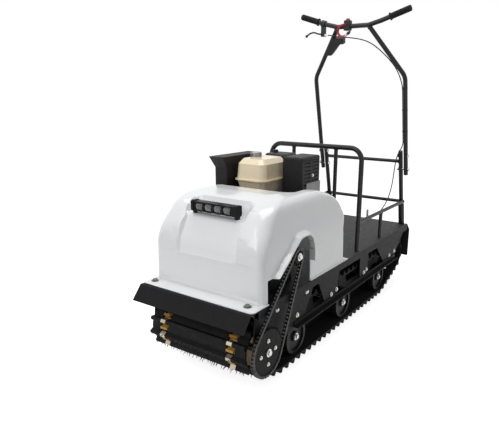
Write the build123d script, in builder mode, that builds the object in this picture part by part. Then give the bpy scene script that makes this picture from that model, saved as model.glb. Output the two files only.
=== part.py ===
"""Tracked snow tug: a rubber track under a cargo deck, an engine under a hood, a folding handlebar.

Millimetres. +X is forward, +Y is the machine's left side, +Z is up.
The origin is on the ground, under the middle of the machine.
"""

import os
from math import asin, atan2, cos, degrees, hypot, pi, radians, sin, tan

from build123d import *

# Track
track_width = 500.0
track_pitch = 50.5
belt_thickness = 8.0
lug_height = 17.5
lug_base = 24.0
lug_side_angle = 72.0
window_column_y = 178.0
window_length = 28.0
window_width = 44.0
wrap_radius = 80.0
drive_axle_x = 745.0
rear_axle_x = -782.0
axle_z = 188.0
front_bend_x = 600.0
front_bend_radius = 160.0

# Wheels and axles inside the track
drive_tooth_count = 10
drive_sprocket_width = 36.0
tooth_width = 16.0
tooth_reach = 15.0
axle_radius = 15.0
idler_axle_radius = 12.0
idler_y = 112.0
wheel_x_positions = (422.0, -59.0, -540.0)
wheel_outer_y = 232.0
wheel_width = 32.0
wheel_axle_radius = 10.0
fit_clearance = 0.2
skid_rail_y = 140.0
skid_rail_thickness = 10.0
skid_rail_height = 110.0

# Frame, deck and running boards
deck_top_z = 380.0
deck_half_width = 284.0
deck_rear_x = -849.0
deck_front_x = 14.0
sheet = 4.0
rail_height = 36.0
rail_flange = 25.0
rail_wall = 3.0
rail_front_x = 790.0
plate_y = 262.0
plate_thickness = 6.0
angle_size = 25.0
angle_top_z = 219.0
angle_front_x = 505.0
angle_rear_x = -690.0
cross_tube_z = 232.0
cross_tube_radius = 14.0

# Bumper and rear flap
bumper_half_width = 290.0
bumper_rear_x = 740.0
bumper_fold_x = 852.0
bumper_front_x = 900.0
bumper_drop = 58.0
flap_rear_x = -900.0
flap_bottom_z = 158.0
flap_fold_drop = 46.0
flap_notch_half_width = 60.0

# Chain drive on the left side
chain_y = 293.0
chain_pitch = 15.875
link_height = 13.0
link_end_length = 10.4
link_wall = 1.6
roller_radius = 5.08
inner_link_half_gap = 3.8
large_tooth_count = 39
small_tooth_count = 13
sprocket_thickness = 7.0
tooth_clearance = 0.12
tooth_base = 8.0
tooth_height = 11.0
tooth_side_angle = 76.0
large_hub_radius = 24.0
large_hub_length = 4.0
small_hub_radius = 20.0
small_hub_length = 24.0
jackshaft_x = 524.0
jackshaft_z = 523.0
jackshaft_radius = 12.5
jackshaft_plate_y = 205.0

# Hood
hood_wall = 4.0
flange_front_x = 838.0
flange_rear_x = 30.0
flange_half_width = 289.0
flange_corner_radius = 12.0
ledge_z = 686.0
ledge_back_x = 640.0
ledge_half_width = 148.0
ledge_corner = 26.0
ledge_wall_rise = 110.0
ledge_wall_spread = 34.0
panel_top_x = 698.0
panel_foot_x = 766.0
panel_foot_z = 535.0
panel_half_width = 140.0
panel_wall_rise = 60.0
panel_wall_spread = 44.0
arch_inner_y = 222.0
arch_rim_y = 305.0
arch_rear_x = 400.0
arch_top_z = 600.0
arch_front_x = 676.0
arch_front_z = 476.0
arch_lip = 6.0
arch_flare = 44.0
arch_top_length = 108.0
arch_foot_x = 730.0
engine_bay_left_y = 196.0
engine_bay_right_y = -262.0
engine_bay_front_x = 445.0

# Lamp bar
lamp_length = 204.0
lamp_height = 40.0
lamp_depth = 38.0
lamp_x = 690.0
lamp_z = 719.0
lamp_cap_width = 14.0
lamp_foot_length = 18.0
lens_count = 4
lens_pitch = 48.0
lens_width = 45.0
lens_height = 27.0
lens_depth = 6.0

# Engine
engine_y = -70.0
engine_half_width = 88.0
tank_length = 224.0
tank_width = 166.0
tank_x = 248.0
tank_y = -77.0
tank_seam_z = 780.0
tank_top_z = 876.0
tank_bottom_z = 722.0
tank_corner = 34.0
seam_overhang = 9.0
seam_thickness = 6.0
cap_x = 238.0
cap_y = -122.0
cap_radius = 27.0
cap_height = 22.0

# Tubes above the deck
tube_radius = 12.5
tube_wall = 2.0
hoop_x = -119.0
hoop_half_width = 268.0
hoop_top_z = 909.0
hoop_bend_radius = 62.0
hoop_bar_y = 125.0
side_rail_z = 530.0
side_rail_radius = 10.0
side_rail_y = 262.0
side_stub_x = -440.0
post_base_x = -835.0
post_half_width = 250.0
post_lean = 13.5
post_top_z = 847.0
socket_radius = 18.0
socket_top_z = 510.0
socket_hole_play = 3.0
foot_clearance = 1.0
crossbar_low_z = 531.0
crossbar_high_z = 784.0

# Folding handlebar
handle_half_width = 281.0
handle_low_z = 704.0
handle_bend_z = 1267.0
handle_join_y = 92.0
handle_join_z = 1534.0
handle_join_x = -515.0
handle_bend_radius = 90.0
pivot_z = 738.0
pivot_radius = 6.0
pivot_clearance = 0.08
pivot_head_radius = 11.0
pivot_head = 6.0
grip_radius = 16.5
grip_length = 118.0
grip_end_y = 322.0
grip_end_z = 1602.0
riser_y = 168.0
riser_z = 1553.0
grip_flange_radius = 21.0
grip_flange = 5.0

# Controls and cable on the handlebar
perch_y = -182.0
perch_radius = 18.5
perch_width = 24.0
perch_bottom_z = 1488.0
perch_depth = 20.0
lever_radius = 4.5
lever_ball_radius = 8.0
lever_points = (
    (-503.0, -188.0, 1501.0),
    (-500.0, -210.0, 1503.0),
    (-498.0, -234.0, 1513.0),
    (-498.0, -262.0, 1508.0),
    (-500.0, -284.0, 1494.0),
)
switch_y = -31.0
switch_z = 1539.0
switch_width = 38.0
switch_height = 54.0
switch_depth = 36.0
tether_radius = 9.0
tether_ring_radius = 34.0
tether_y = -46.0
tether_z = 1510.0
tether_first_angle = 60.0
tether_last_angle = 330.0
tether_step = 45.0
control_box_depth = 28.0
control_box_outline = (
    # y, z, on the right handle tube's inner side
    (-128.0, 1482.0),
    (-60.0, 1478.0),
    (-64.0, 1449.0),
    (-88.0, 1449.0),
    (-102.0, 1437.0),
    (-150.0, 1392.0),
    (-192.0, 1392.0),
)
cable_radius = 3.0
seat_gap = 0.3

SIDES = (("left", 1), ("right", -1))
lean = tan(radians(post_lean))


def write(piece, node):
    """Label a finished piece and write it as its own file."""
    piece.part.label = node
    export_step(piece.part, f"parts/{node}.step")


def post_x(z):
    """Where the leaning line of the rear posts is at a height."""
    return post_base_x + (z - deck_top_z) * lean


def tube(points, bends, radius, wall):
    """A round tube along straight runs with bent corners."""
    with BuildPart() as piece:
        with BuildLine() as route:
            if bends:
                FilletPolyline(*points, radius=bends)
            else:
                Line(*points)
        with BuildSketch(Plane(route.line @ 0, z_dir=route.line % 0)):
            Circle(radius)
            if wall:
                Circle(radius - wall, mode=Mode.SUBTRACT)
        sweep()
    return piece


def cord(name, points, radius):
    """A cable along chosen points, each corner rounded as far as its shorter run allows."""
    bends = []
    for before, corner, after in zip(points, points[1:], points[2:]):
        run_in = Vector(corner) - Vector(before)
        run_out = Vector(after) - Vector(corner)
        half_turn = radians(run_in.get_angle(run_out)) / 2
        bends.append(0.45 * min(run_in.length, run_out.length) / tan(half_turn))
    print(name, "bend radii", [round(bend) for bend in bends])
    return tube(points, bends, radius, 0.0)


os.makedirs("parts", exist_ok=True)

# Track: a belt with crosswise lugs and two columns of drive windows
belt_bottom_z = lug_height + belt_thickness
top_run_z = axle_z + wrap_radius
front_run = drive_axle_x - front_bend_x
front_rise = axle_z - belt_bottom_z
front_ramp = atan2(front_rise, front_run) - asin(wrap_radius / hypot(front_run, front_rise))
rear_wheel_x = min(wheel_x_positions)
wheel_z = belt_bottom_z + wrap_radius
rear_ramp = atan2(axle_z - wheel_z, rear_wheel_x - rear_axle_x)
rear_bend_x = rear_wheel_x - wrap_radius * tan(rear_ramp / 2)
run_height = top_run_z - belt_bottom_z
loop_corners = (
    (front_bend_x + run_height / tan(front_ramp), top_run_z),
    (front_bend_x, belt_bottom_z),
    (rear_bend_x, belt_bottom_z),
    (rear_bend_x - run_height / tan(rear_ramp), top_run_z),
)
loop_radii = [wrap_radius, front_bend_radius, wrap_radius, wrap_radius]
loop = FilletPolyline(*loop_corners, radius=loop_radii, close=True)
pitch_count = round(loop.length / track_pitch)


def loop_places(phase, lift):
    """A place at each pitch of the track, turned along it and lifted off its inner face."""
    places = []
    for i in range(pitch_count):
        share = ((i + phase) / pitch_count) % 1.0
        point = loop @ share
        place = Location((point.X, point.Y, 0), (0, 0, loop.tangent_angle_at(share)))
        places.append(place * Pos(0, lift))
    return places


window_places = []
for place in loop_places(0.5, belt_thickness / 2):
    if not rear_bend_x - track_pitch < place.position.X < front_bend_x + track_pitch:
        window_places.append(place)

with BuildPart() as track:
    with BuildSketch(Plane.XZ):
        add(make_face(loop))
        offset(amount=belt_thickness)
        with Locations(*loop_places(0.0, belt_thickness - 1.0)):
            Trapezoid(lug_base, lug_height + 1.0, lug_side_angle, align=(Align.CENTER, Align.MIN))
        add(make_face(loop), mode=Mode.SUBTRACT)
    extrude(amount=track_width / 2, both=True)
    for _, sign in SIDES:
        with BuildSketch(Plane.XZ.offset(-sign * window_column_y)):
            with Locations(*window_places):
                Rectangle(window_length, 2 * belt_thickness)
        extrude(amount=window_width / 2, both=True, mode=Mode.SUBTRACT)
write(track, "track")

# Drive sprockets: toothed drums whose teeth reach through the windows
drum_places = [place.position for place in loop_places(0.5, 0.0)]
first_tooth = max(drum_places, key=lambda point: point.X)
tooth_phase = degrees(atan2(first_tooth.Y - axle_z, first_tooth.X - drive_axle_x))
drum_radius = wrap_radius - 0.3

with BuildPart() as drive_sprockets:
    for _, sign in SIDES:
        with BuildSketch(Plane.XZ.offset(-sign * window_column_y)):
            with Locations((drive_axle_x, axle_z)):
                Circle(drum_radius)
                with PolarLocations(drum_radius - 4.0, drive_tooth_count, start_angle=tooth_phase):
                    with Locations(Location((0, 0, 0), (0, 0, -90))):
                        Trapezoid(tooth_width, tooth_reach + 4.0, 80, align=(Align.CENTER, Align.MIN))
                Circle(axle_radius + fit_clearance, mode=Mode.SUBTRACT)
        extrude(amount=drive_sprocket_width / 2, both=True)
write(drive_sprockets, "drive_sprockets")

with BuildPart() as drive_axle:
    with BuildSketch(Plane.XZ.offset(plate_y + plate_thickness + 24)):
        with Locations((drive_axle_x, axle_z)):
            Circle(axle_radius)
    extrude(amount=-(plate_y + plate_thickness + 24 + chain_y + sprocket_thickness))
write(drive_axle, "drive_axle")

# Rear idler wheels and their axle
with BuildPart() as rear_idlers:
    for _, sign in SIDES:
        with BuildSketch(Plane.XZ.offset(-sign * idler_y)):
            with Locations((rear_axle_x, axle_z)):
                Circle(wrap_radius - 0.3)
                Circle(idler_axle_radius + fit_clearance, mode=Mode.SUBTRACT)
        extrude(amount=wheel_width / 2, both=True)
        for face in (1, -1):
            with BuildSketch(Plane.XZ.offset(-sign * idler_y - face * wheel_width / 2)):
                with Locations((rear_axle_x, axle_z)):
                    Circle(wrap_radius - 14)
                    Circle(idler_axle_radius + 14, mode=Mode.SUBTRACT)
            extrude(amount=face * 9, mode=Mode.SUBTRACT)
write(rear_idlers, "rear_idlers")

with BuildPart() as rear_axle:
    with BuildSketch(Plane.XZ):
        with Locations((rear_axle_x, axle_z)):
            Circle(idler_axle_radius)
    extrude(amount=skid_rail_y + 30, both=True)
write(rear_axle, "rear_axle")

# Road wheels on cross axles
wheel_places = [(x, wheel_z) for x in wheel_x_positions]
wheel_middle_y = wheel_outer_y - wheel_width / 2
with BuildPart() as road_wheels:
    for _, sign in SIDES:
        with BuildSketch(Plane.XZ.offset(-sign * wheel_middle_y)):
            with Locations(*wheel_places):
                Circle(wrap_radius - 0.3)
                Circle(wheel_axle_radius + fit_clearance, mode=Mode.SUBTRACT)
        extrude(amount=wheel_width / 2, both=True)
        with BuildSketch(Plane.XZ.offset(-sign * wheel_outer_y)):
            with Locations(*wheel_places):
                Circle(wrap_radius - 14)
                Circle(wheel_axle_radius + 14, mode=Mode.SUBTRACT)
        extrude(amount=sign * 10, mode=Mode.SUBTRACT)
write(road_wheels, "road_wheels")

with BuildPart() as road_wheel_axles:
    with BuildSketch(Plane.XZ):
        with Locations(*wheel_places):
            Circle(wheel_axle_radius)
    extrude(amount=wheel_outer_y + 6, both=True)
write(road_wheel_axles, "road_wheel_axles")

# Skid rails inside the track: they carry the wheels, and slide on the belt between them
cross_tube_x_positions = (160.0, -225.0, -600.0)
skid_bottom_z = belt_bottom_z + 0.3
skid_top_z = skid_bottom_z + skid_rail_height
skid_nose_x = front_bend_x + 60.0
skid_nose_z = skid_bottom_z + 60.0 * tan(front_ramp) + 14.0
arm_half_width = 26.0
with BuildPart() as skid_rails:
    for _, sign in SIDES:
        with BuildSketch(Plane.XZ.offset(-sign * skid_rail_y)):
            with BuildLine():
                Polyline(
                    (front_bend_x - 60.0, skid_bottom_z),
                    (rear_bend_x + 20.0, skid_bottom_z),
                    (rear_axle_x, axle_z - idler_axle_radius - 12.0),
                    (rear_axle_x - idler_axle_radius - 12.0, axle_z),
                    (rear_axle_x, axle_z + idler_axle_radius + 12.0),
                    (rear_bend_x, skid_top_z),
                    (skid_nose_x - 60.0, skid_top_z),
                    (skid_nose_x, skid_nose_z + 18.0),
                    (skid_nose_x, skid_nose_z),
                    close=True,
                )
            make_face()
            for x in cross_tube_x_positions:
                with BuildLine():
                    Polyline(
                        (x - 2 * arm_half_width, skid_top_z - 5.0),
                        (x + 2 * arm_half_width, skid_top_z - 5.0),
                        (x + arm_half_width, cross_tube_z + cross_tube_radius + 8.0),
                        (x - arm_half_width, cross_tube_z + cross_tube_radius + 8.0),
                        close=True,
                    )
                make_face()
            with Locations(*[(x, cross_tube_z) for x in cross_tube_x_positions]):
                Circle(cross_tube_radius + fit_clearance, mode=Mode.SUBTRACT)
            with Locations(*wheel_places):
                Circle(wheel_axle_radius + fit_clearance, mode=Mode.SUBTRACT)
            with Locations((rear_axle_x, axle_z)):
                Circle(idler_axle_radius + fit_clearance, mode=Mode.SUBTRACT)
        extrude(amount=skid_rail_thickness / 2, both=True)
write(skid_rails, "skid_rails")

with BuildPart() as cross_tubes:
    with BuildSketch(Plane.XZ):
        with Locations(*[(x, cross_tube_z) for x in cross_tube_x_positions]):
            Circle(cross_tube_radius)
            Circle(cross_tube_radius - 3.0, mode=Mode.SUBTRACT)
    extrude(amount=plate_y, both=True)
write(cross_tubes, "cross_tubes")

# Frame rails: channels along both edges of the deck, open towards the middle
rail_top_z = deck_top_z - sheet
rail_bottom_z = rail_top_z - rail_height
with BuildPart() as frame_rails:
    for _, sign in SIDES:
        with BuildSketch(Plane.YZ.offset(deck_rear_x)):
            with Locations((sign * (deck_half_width - rail_flange / 2), rail_top_z - rail_height / 2)):
                Rectangle(rail_flange, rail_height)
            with Locations((sign * (deck_half_width - rail_wall - rail_flange / 2), rail_top_z - rail_height / 2)):
                Rectangle(rail_flange, rail_height - 2 * rail_wall, mode=Mode.SUBTRACT)
        extrude(amount=rail_front_x - deck_rear_x)
write(frame_rails, "frame_rails")

cross_member_width = 30.0
engine_member_x_positions = (330.0, 690.0)
rear_member_x = deck_rear_x + cross_member_width / 2
cross_member_x_positions = (rear_member_x, side_stub_x, hoop_x, *engine_member_x_positions)
with BuildPart() as cross_members:
    for x in cross_member_x_positions:
        with Locations((x, 0, rail_top_z - rail_height / 2)):
            Box(cross_member_width, 2 * (deck_half_width - rail_flange), rail_height)
write(cross_members, "cross_members")

# Hanger plates under the frame rails, and the angle bars along their lower ends
hanger_table = (
    # top front x, top rear x, bottom front x, bottom rear x
    (295.0, 71.0, 215.0, 105.0),
    (-168.0, -281.0, -178.0, -272.0),
    (-388.0, -845.0, -535.0, -666.0),
)
hanger_bottom_z = angle_top_z - angle_size
with BuildPart() as hangers:
    for _, sign in SIDES:
        with BuildSketch(Plane.XZ.offset(-sign * (plate_y + plate_thickness / 2))):
            for top_front, top_rear, bottom_front, bottom_rear in hanger_table:
                with BuildLine():
                    Polyline(
                        (top_front, rail_bottom_z),
                        (top_rear, rail_bottom_z),
                        (bottom_rear, hanger_bottom_z),
                        (bottom_front, hanger_bottom_z),
                        close=True,
                    )
                make_face()
        extrude(amount=plate_thickness / 2, both=True)
write(hangers, "hangers")

angle_inner_y = plate_y + plate_thickness
with BuildPart() as angle_bars:
    for _, sign in SIDES:
        with BuildSketch(Plane.YZ.offset(angle_rear_x)):
            with Locations((sign * (angle_inner_y + sheet / 2), angle_top_z - angle_size / 2)):
                Rectangle(sheet, angle_size)
            with Locations((sign * (angle_inner_y + angle_size / 2), hanger_bottom_z + sheet / 2)):
                Rectangle(angle_size, sheet)
        extrude(amount=angle_front_x - angle_rear_x)
write(angle_bars, "angle_bars")

# Drive plates: they hang from the rails and hold the drive axle's bearings
bearing_boss = 62.0
with BuildPart() as drive_plates:
    for _, sign in SIDES:
        with BuildSketch(Plane.XZ.offset(-sign * (plate_y + plate_thickness / 2))):
            with BuildLine():
                Polyline(
                    (330.0, rail_bottom_z),
                    (rail_front_x, rail_bottom_z),
                    (rail_front_x + 12.0, axle_z + 40.0),
                    (drive_axle_x, axle_z),
                    (drive_axle_x - 45.0, axle_z - 42.0),
                    (angle_front_x, hanger_bottom_z),
                    (440.0, hanger_bottom_z),
                    close=True,
                )
            make_face()
            with Locations((drive_axle_x, axle_z)):
                Circle(bearing_boss)
                Circle(axle_radius + fit_clearance, mode=Mode.SUBTRACT)
        extrude(amount=plate_thickness / 2, both=True)
write(drive_plates, "drive_plates")

with BuildPart() as axle_bearings:
    for _, sign in SIDES:
        with BuildSketch(Plane.XZ.offset(-sign * (plate_y + plate_thickness))):
            with Locations((drive_axle_x, axle_z)):
                Circle(46.0)
                Circle(axle_radius + fit_clearance, mode=Mode.SUBTRACT)
        extrude(amount=-sign * 7.0)
        with BuildSketch(Plane.XZ.offset(-sign * (plate_y + plate_thickness + 7.0))):
            with Locations((drive_axle_x, axle_z)):
                Circle(29.0)
                Circle(axle_radius + fit_clearance, mode=Mode.SUBTRACT)
        extrude(amount=-sign * 9.0)
write(axle_bearings, "axle_bearings")

# Chain drive: the pins sit between the teeth, and run straight from one sprocket to the other
large_radius = chain_pitch / (2 * sin(pi / large_tooth_count))
small_radius = chain_pitch / (2 * sin(pi / small_tooth_count))
drive_centre = Vector(drive_axle_x, axle_z)
jack_centre = Vector(jackshaft_x, jackshaft_z)
centre_line = jack_centre - drive_centre
centre_angle = degrees(atan2(centre_line.Y, centre_line.X))
spread = degrees(asin((large_radius - small_radius) / centre_line.length))


def wrap_pins(centre, radius, tooth_count, middle_angle, wrap):
    """The chain's pins on a sprocket, a tooth apart, about the middle of the wrap."""
    step = 360.0 / tooth_count
    count = int(wrap / step) + 1
    first = middle_angle - step * (count - 1) / 2
    angles = [radians(first + i * step) for i in range(count)]
    return [centre + Vector(cos(angle), sin(angle)) * radius for angle in angles]


def strand_pins(start, end):
    """The pins between the last on one sprocket and the first on the other."""
    links = round((end - start).length / chain_pitch)
    return [start + (end - start) * (i / links) for i in range(1, links)]


large_wrap = wrap_pins(drive_centre, large_radius, large_tooth_count, centre_angle + 180.0, 180.0 + 2 * spread)
small_wrap = wrap_pins(jack_centre, small_radius, small_tooth_count, centre_angle, 180.0 - 2 * spread)
front_strand = strand_pins(large_wrap[-1], small_wrap[0])
rear_strand = strand_pins(small_wrap[-1], large_wrap[0])
pins = large_wrap + front_strand + small_wrap + rear_strand


def sprocket(centre, radius, tooth_count, pin, bore, hub_radius, hub_length):
    """A chain sprocket with teeth between the chain's pins, and a hub on its inner face."""
    root = radius - roller_radius - tooth_clearance
    pin_angle = degrees(atan2(pin.Y - centre.Y, pin.X - centre.X))
    with BuildPart() as piece:
        with BuildSketch(Plane.XZ.offset(-chain_y)):
            with Locations(centre):
                Circle(root)
                with PolarLocations(root - 1.0, tooth_count, start_angle=pin_angle + 180.0 / tooth_count):
                    with Locations(Location((0, 0, 0), (0, 0, -90))):
                        Trapezoid(tooth_base, tooth_height, tooth_side_angle, align=(Align.CENTER, Align.MIN))
        extrude(amount=sprocket_thickness / 2, both=True)
        with BuildSketch(Plane.XZ.offset(-(chain_y - sprocket_thickness / 2))):
            with Locations(centre):
                Circle(hub_radius)
        extrude(amount=hub_length)
        with BuildSketch(Plane.XZ.offset(-(chain_y + sprocket_thickness))):
            with Locations(centre):
                Circle(bore + fit_clearance)
        extrude(amount=hub_length + 2 * sprocket_thickness, mode=Mode.SUBTRACT)
    return piece


large_sprocket = sprocket(
    drive_centre, large_radius, large_tooth_count, large_wrap[0], axle_radius, large_hub_radius, large_hub_length
)
write(large_sprocket, "chain_sprocket_large")
small_sprocket = sprocket(
    jack_centre, small_radius, small_tooth_count, small_wrap[0], jackshaft_radius, small_hub_radius, small_hub_length
)
write(small_sprocket, "chain_sprocket_small")

link_places = []
for i, here in enumerate(pins):
    there = pins[(i + 1) % len(pins)]
    middle = (here + there) / 2
    turn = degrees(atan2(there.Y - here.Y, there.X - here.X))
    plate_y_offset = inner_link_half_gap + (i % 2) * link_wall + link_wall / 2
    for _, sign in SIDES:
        plate_place = (middle.X, chain_y + sign * plate_y_offset, middle.Y)
        link_places.append(Location(plate_place, (0, -turn, 0)))

with BuildPart() as chain:
    with Locations(*link_places):
        Box(chain_pitch + link_end_length, link_wall, link_height)
write(chain, "chain")

with BuildPart() as jackshaft:
    with BuildSketch(Plane.XZ.offset(-(chain_y + sprocket_thickness))):
        with Locations(jack_centre):
            Circle(jackshaft_radius)
    extrude(amount=chain_y + sprocket_thickness - 60.0)
write(jackshaft, "jackshaft")

with BuildPart() as jackshaft_plate:
    with BuildSketch(Plane.XZ.offset(-jackshaft_plate_y)):
        with BuildLine():
            Polyline(
                (jackshaft_x - 90.0, deck_top_z),
                (jackshaft_x + 90.0, deck_top_z),
                (jackshaft_x + 40.0, jackshaft_z + 42.0),
                (jackshaft_x - 40.0, jackshaft_z + 42.0),
                close=True,
            )
        make_face()
        with Locations(jack_centre):
            Circle(jackshaft_radius + fit_clearance, mode=Mode.SUBTRACT)
    extrude(amount=plate_thickness / 2, both=True)
    with BuildSketch(Plane.XZ.offset(-(jackshaft_plate_y + plate_thickness / 2))):
        with Locations(jack_centre):
            Circle(36.0)
            Circle(jackshaft_radius + fit_clearance, mode=Mode.SUBTRACT)
    extrude(amount=-18.0)
write(jackshaft_plate, "jackshaft_plate")

# Deck floor, engine bed, bumper and rear flap
with BuildPart() as deck_floor:
    with BuildSketch(Plane.XY.offset(rail_top_z)):
        with Locations(((deck_rear_x + deck_front_x) / 2, 0)):
            Rectangle(deck_front_x - deck_rear_x, 2 * deck_half_width)
        for _, sign in SIDES:
            foot_holes = (
                # x, y, radius of the tube that passes through the floor to the frame
                (hoop_x, hoop_half_width, tube_radius),
                (hoop_x, hoop_bar_y, side_rail_radius),
                (side_stub_x, side_rail_y, side_rail_radius),
                (post_x(rail_top_z), post_half_width, socket_radius + socket_hole_play),
            )
            for x, y, radius in foot_holes:
                with Locations((x, sign * y)):
                    Circle(radius + foot_clearance, mode=Mode.SUBTRACT)
    extrude(amount=sheet)
write(deck_floor, "deck_floor")

with BuildPart() as engine_bed:
    with BuildSketch(Plane.XY.offset(rail_top_z)):
        with Locations(((deck_front_x + bumper_rear_x) / 2, 0)):
            Rectangle(bumper_rear_x - deck_front_x, 2 * (deck_half_width - 2.0))
    extrude(amount=sheet)
write(engine_bed, "engine_bed")

with BuildPart() as bumper:
    with BuildSketch(Plane.XZ):
        with BuildLine():
            Polyline(
                (bumper_rear_x, deck_top_z),
                (bumper_fold_x, deck_top_z),
                (bumper_front_x, deck_top_z - bumper_drop),
                (bumper_front_x - 5.0, deck_top_z - bumper_drop),
                (bumper_fold_x - 2.0, deck_top_z - sheet),
                (bumper_rear_x, deck_top_z - sheet),
                close=True,
            )
        make_face()
    extrude(amount=bumper_half_width, both=True)
write(bumper, "bumper")

flap_bend_x = flap_rear_x + sheet
with BuildPart() as rear_flap:
    with BuildSketch(Plane.XZ):
        with BuildLine():
            Polyline(
                (deck_rear_x, deck_top_z),
                (flap_rear_x, deck_top_z - flap_fold_drop),
                (flap_rear_x, flap_bottom_z),
                (flap_bend_x, flap_bottom_z),
                (flap_bend_x, deck_top_z - flap_fold_drop - 2.0),
                (deck_rear_x, deck_top_z - sheet),
                close=True,
            )
        make_face()
    extrude(amount=deck_half_width, both=True)
    with Locations((flap_rear_x, 0, deck_top_z)):
        Box(120.0, 2 * flap_notch_half_width, 220.0, mode=Mode.SUBTRACT)
    with BuildSketch(Plane.XY.offset(deck_top_z)):
        with Locations(*[(post_x(rail_top_z), sign * post_half_width) for _, sign in SIDES]):
            Circle(socket_radius + socket_hole_play + foot_clearance)
    extrude(amount=-flap_fold_drop, mode=Mode.SUBTRACT)
write(rear_flap, "rear_flap")

# Tow hitch: a tongue with an upright pin behind the deck
hitch_pin_x = -876.0
hitch_pin_radius = 8.0
tongue_half_width = 22.0
with BuildPart() as tow_hitch:
    with BuildSketch(Plane.XY.offset(rail_bottom_z)):
        with Locations(((deck_rear_x + hitch_pin_x) / 2, 0)):
            Rectangle(deck_rear_x - hitch_pin_x, 2 * tongue_half_width)
        with Locations((hitch_pin_x, 0)):
            Circle(tongue_half_width)
            Circle(hitch_pin_radius + fit_clearance, mode=Mode.SUBTRACT)
    extrude(amount=10.0)
write(tow_hitch, "tow_hitch")

with BuildPart() as hitch_pin:
    with BuildSketch(Plane.XY.offset(rail_bottom_z - 26.0)):
        with Locations((hitch_pin_x, 0)):
            Circle(hitch_pin_radius)
    extrude(amount=116.0)
    with BuildSketch(Plane.XY.offset(rail_bottom_z + 10.0)):
        with Locations((hitch_pin_x, 0)):
            Circle(14.0)
    extrude(amount=6.0)
write(hitch_pin, "hitch_pin")

# Hood: a hollow moulded shell, open behind for the engine, with an arch for the chain
hood_sections = (
    # height, front x, rear x, half width, front corner radius, rear corner radius; straight up to the second
    (380.0, 767.0, 52.0, 283.0, 24.0, 30.0),
    (530.0, 766.0, 54.0, 281.0, 30.0, 35.0),
    (640.0, 741.0, 58.0, 274.0, 50.0, 50.0),
    (700.0, 697.0, 96.0, 262.0, 54.0, 70.0),
    (738.0, 646.0, 186.0, 248.0, 50.0, 80.0),
    (757.0, 572.0, 272.0, 214.0, 60.0, 60.0),
    (764.0, 520.0, 326.0, 165.0, 60.0, 60.0),
)
panel_run = Vector(panel_top_x - panel_foot_x, 0, ledge_z - panel_foot_z)
panel_face = Plane((panel_foot_x, 0, panel_foot_z), x_dir=(0, 1, 0), z_dir=Vector(0, 1, 0).cross(panel_run))


def hood_body(inset):
    """The hood's outer form, or its cavity when inset by the wall."""
    with BuildPart() as body:
        for run in (hood_sections[:2], hood_sections[1:]):
            for height, front, rear, half, front_corner, rear_corner in run:
                level = height - inset if height > deck_top_z else height
                with BuildSketch(Plane.XY.offset(level)) as section:
                    with Locations(((front + rear) / 2, 0)):
                        Rectangle(front - rear - 2 * inset, 2 * (half - inset))
                    fillet(section.vertices().group_by(Axis.X)[-1], front_corner - inset)
                    fillet(section.vertices().group_by(Axis.X)[0], rear_corner - inset)
            loft()
        for rise, spread in ((0.0, 0.0), (ledge_wall_rise, ledge_wall_spread)):
            half = ledge_half_width + inset + spread
            with BuildSketch(Plane.XY.offset(ledge_z - inset + rise)) as shelf:
                with Locations((ledge_back_x - inset - spread, 0)):
                    Rectangle(flange_front_x - ledge_back_x, 2 * half, align=(Align.MIN, Align.CENTER))
                fillet(shelf.vertices().group_by(Axis.X)[0], ledge_corner + inset + spread)
        loft(mode=Mode.SUBTRACT)
        for rise, spread in ((0.0, 0.0), (panel_wall_rise, panel_wall_spread)):
            with BuildSketch(panel_face.offset(rise - inset)):
                Rectangle(2 * (panel_half_width + inset + spread), 2 * panel_run.length + 2 * spread)
        loft(mode=Mode.SUBTRACT)
    return body


def arch_outline(grow, y, low_z):
    """Side view of the chain's opening at a distance from the middle, grown by a margin."""
    with BuildSketch(Plane.XZ.offset(-y)) as outline:
        with BuildLine() as edge:
            FilletPolyline(
                (arch_rear_x - grow, low_z),
                (arch_rear_x - grow, arch_top_z + grow),
                (arch_rear_x + arch_top_length + grow / 2, arch_top_z + grow),
                (arch_front_x + grow, arch_front_z),
                radius=[62.0 + grow, 55.0 + grow],
            )
            Polyline(edge.line @ 1, (arch_front_x + grow, low_z), (arch_rear_x - grow, low_z))
        make_face()
    return outline


hood_outer = hood_body(0.0)
hood_cavity = hood_body(hood_wall)
with BuildPart() as hood:
    add(arch_outline(arch_lip, arch_rim_y, arch_front_z - 1.0).sketch)
    add(arch_outline(arch_lip + arch_flare, arch_inner_y, arch_front_z - 1.0).sketch)
    loft()
    add(hood_outer.part)
    with BuildSketch(Plane.XY.offset(deck_top_z)) as flange:
        with Locations(((flange_rear_x + flange_front_x) / 2, 0)):
            Rectangle(flange_front_x - flange_rear_x, 2 * flange_half_width)
        fillet(flange.vertices().group_by(Axis.X)[-1], flange_corner_radius)
    extrude(amount=hood_wall)
    add(hood_cavity.part, mode=Mode.SUBTRACT)
    opening = arch_outline(0.0, arch_rim_y, deck_top_z - 20.0)
    extrude(opening.sketch, amount=arch_rim_y - arch_inner_y, mode=Mode.SUBTRACT)
    with BuildSketch(Plane.XZ.offset(-arch_rim_y)):
        with Locations((arch_front_x - 1.0, deck_top_z - 20.0)):
            foot_height = arch_front_z - deck_top_z + 20.0
            Rectangle(arch_foot_x - arch_front_x, foot_height, align=(Align.MIN, Align.MIN))
    extrude(amount=arch_rim_y - arch_inner_y, mode=Mode.SUBTRACT)
    bay_middle_y = (engine_bay_left_y + engine_bay_right_y) / 2
    with BuildSketch(Plane.XY.offset(deck_top_z - 10.0)) as bay:
        with Locations((engine_bay_front_x - 300.0, bay_middle_y)):
            Rectangle(600.0, engine_bay_left_y - engine_bay_right_y)
        fillet(bay.vertices().group_by(Axis.X)[-1], 60.0)
    extrude(amount=600.0, mode=Mode.SUBTRACT)
write(hood, "hood")

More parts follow.
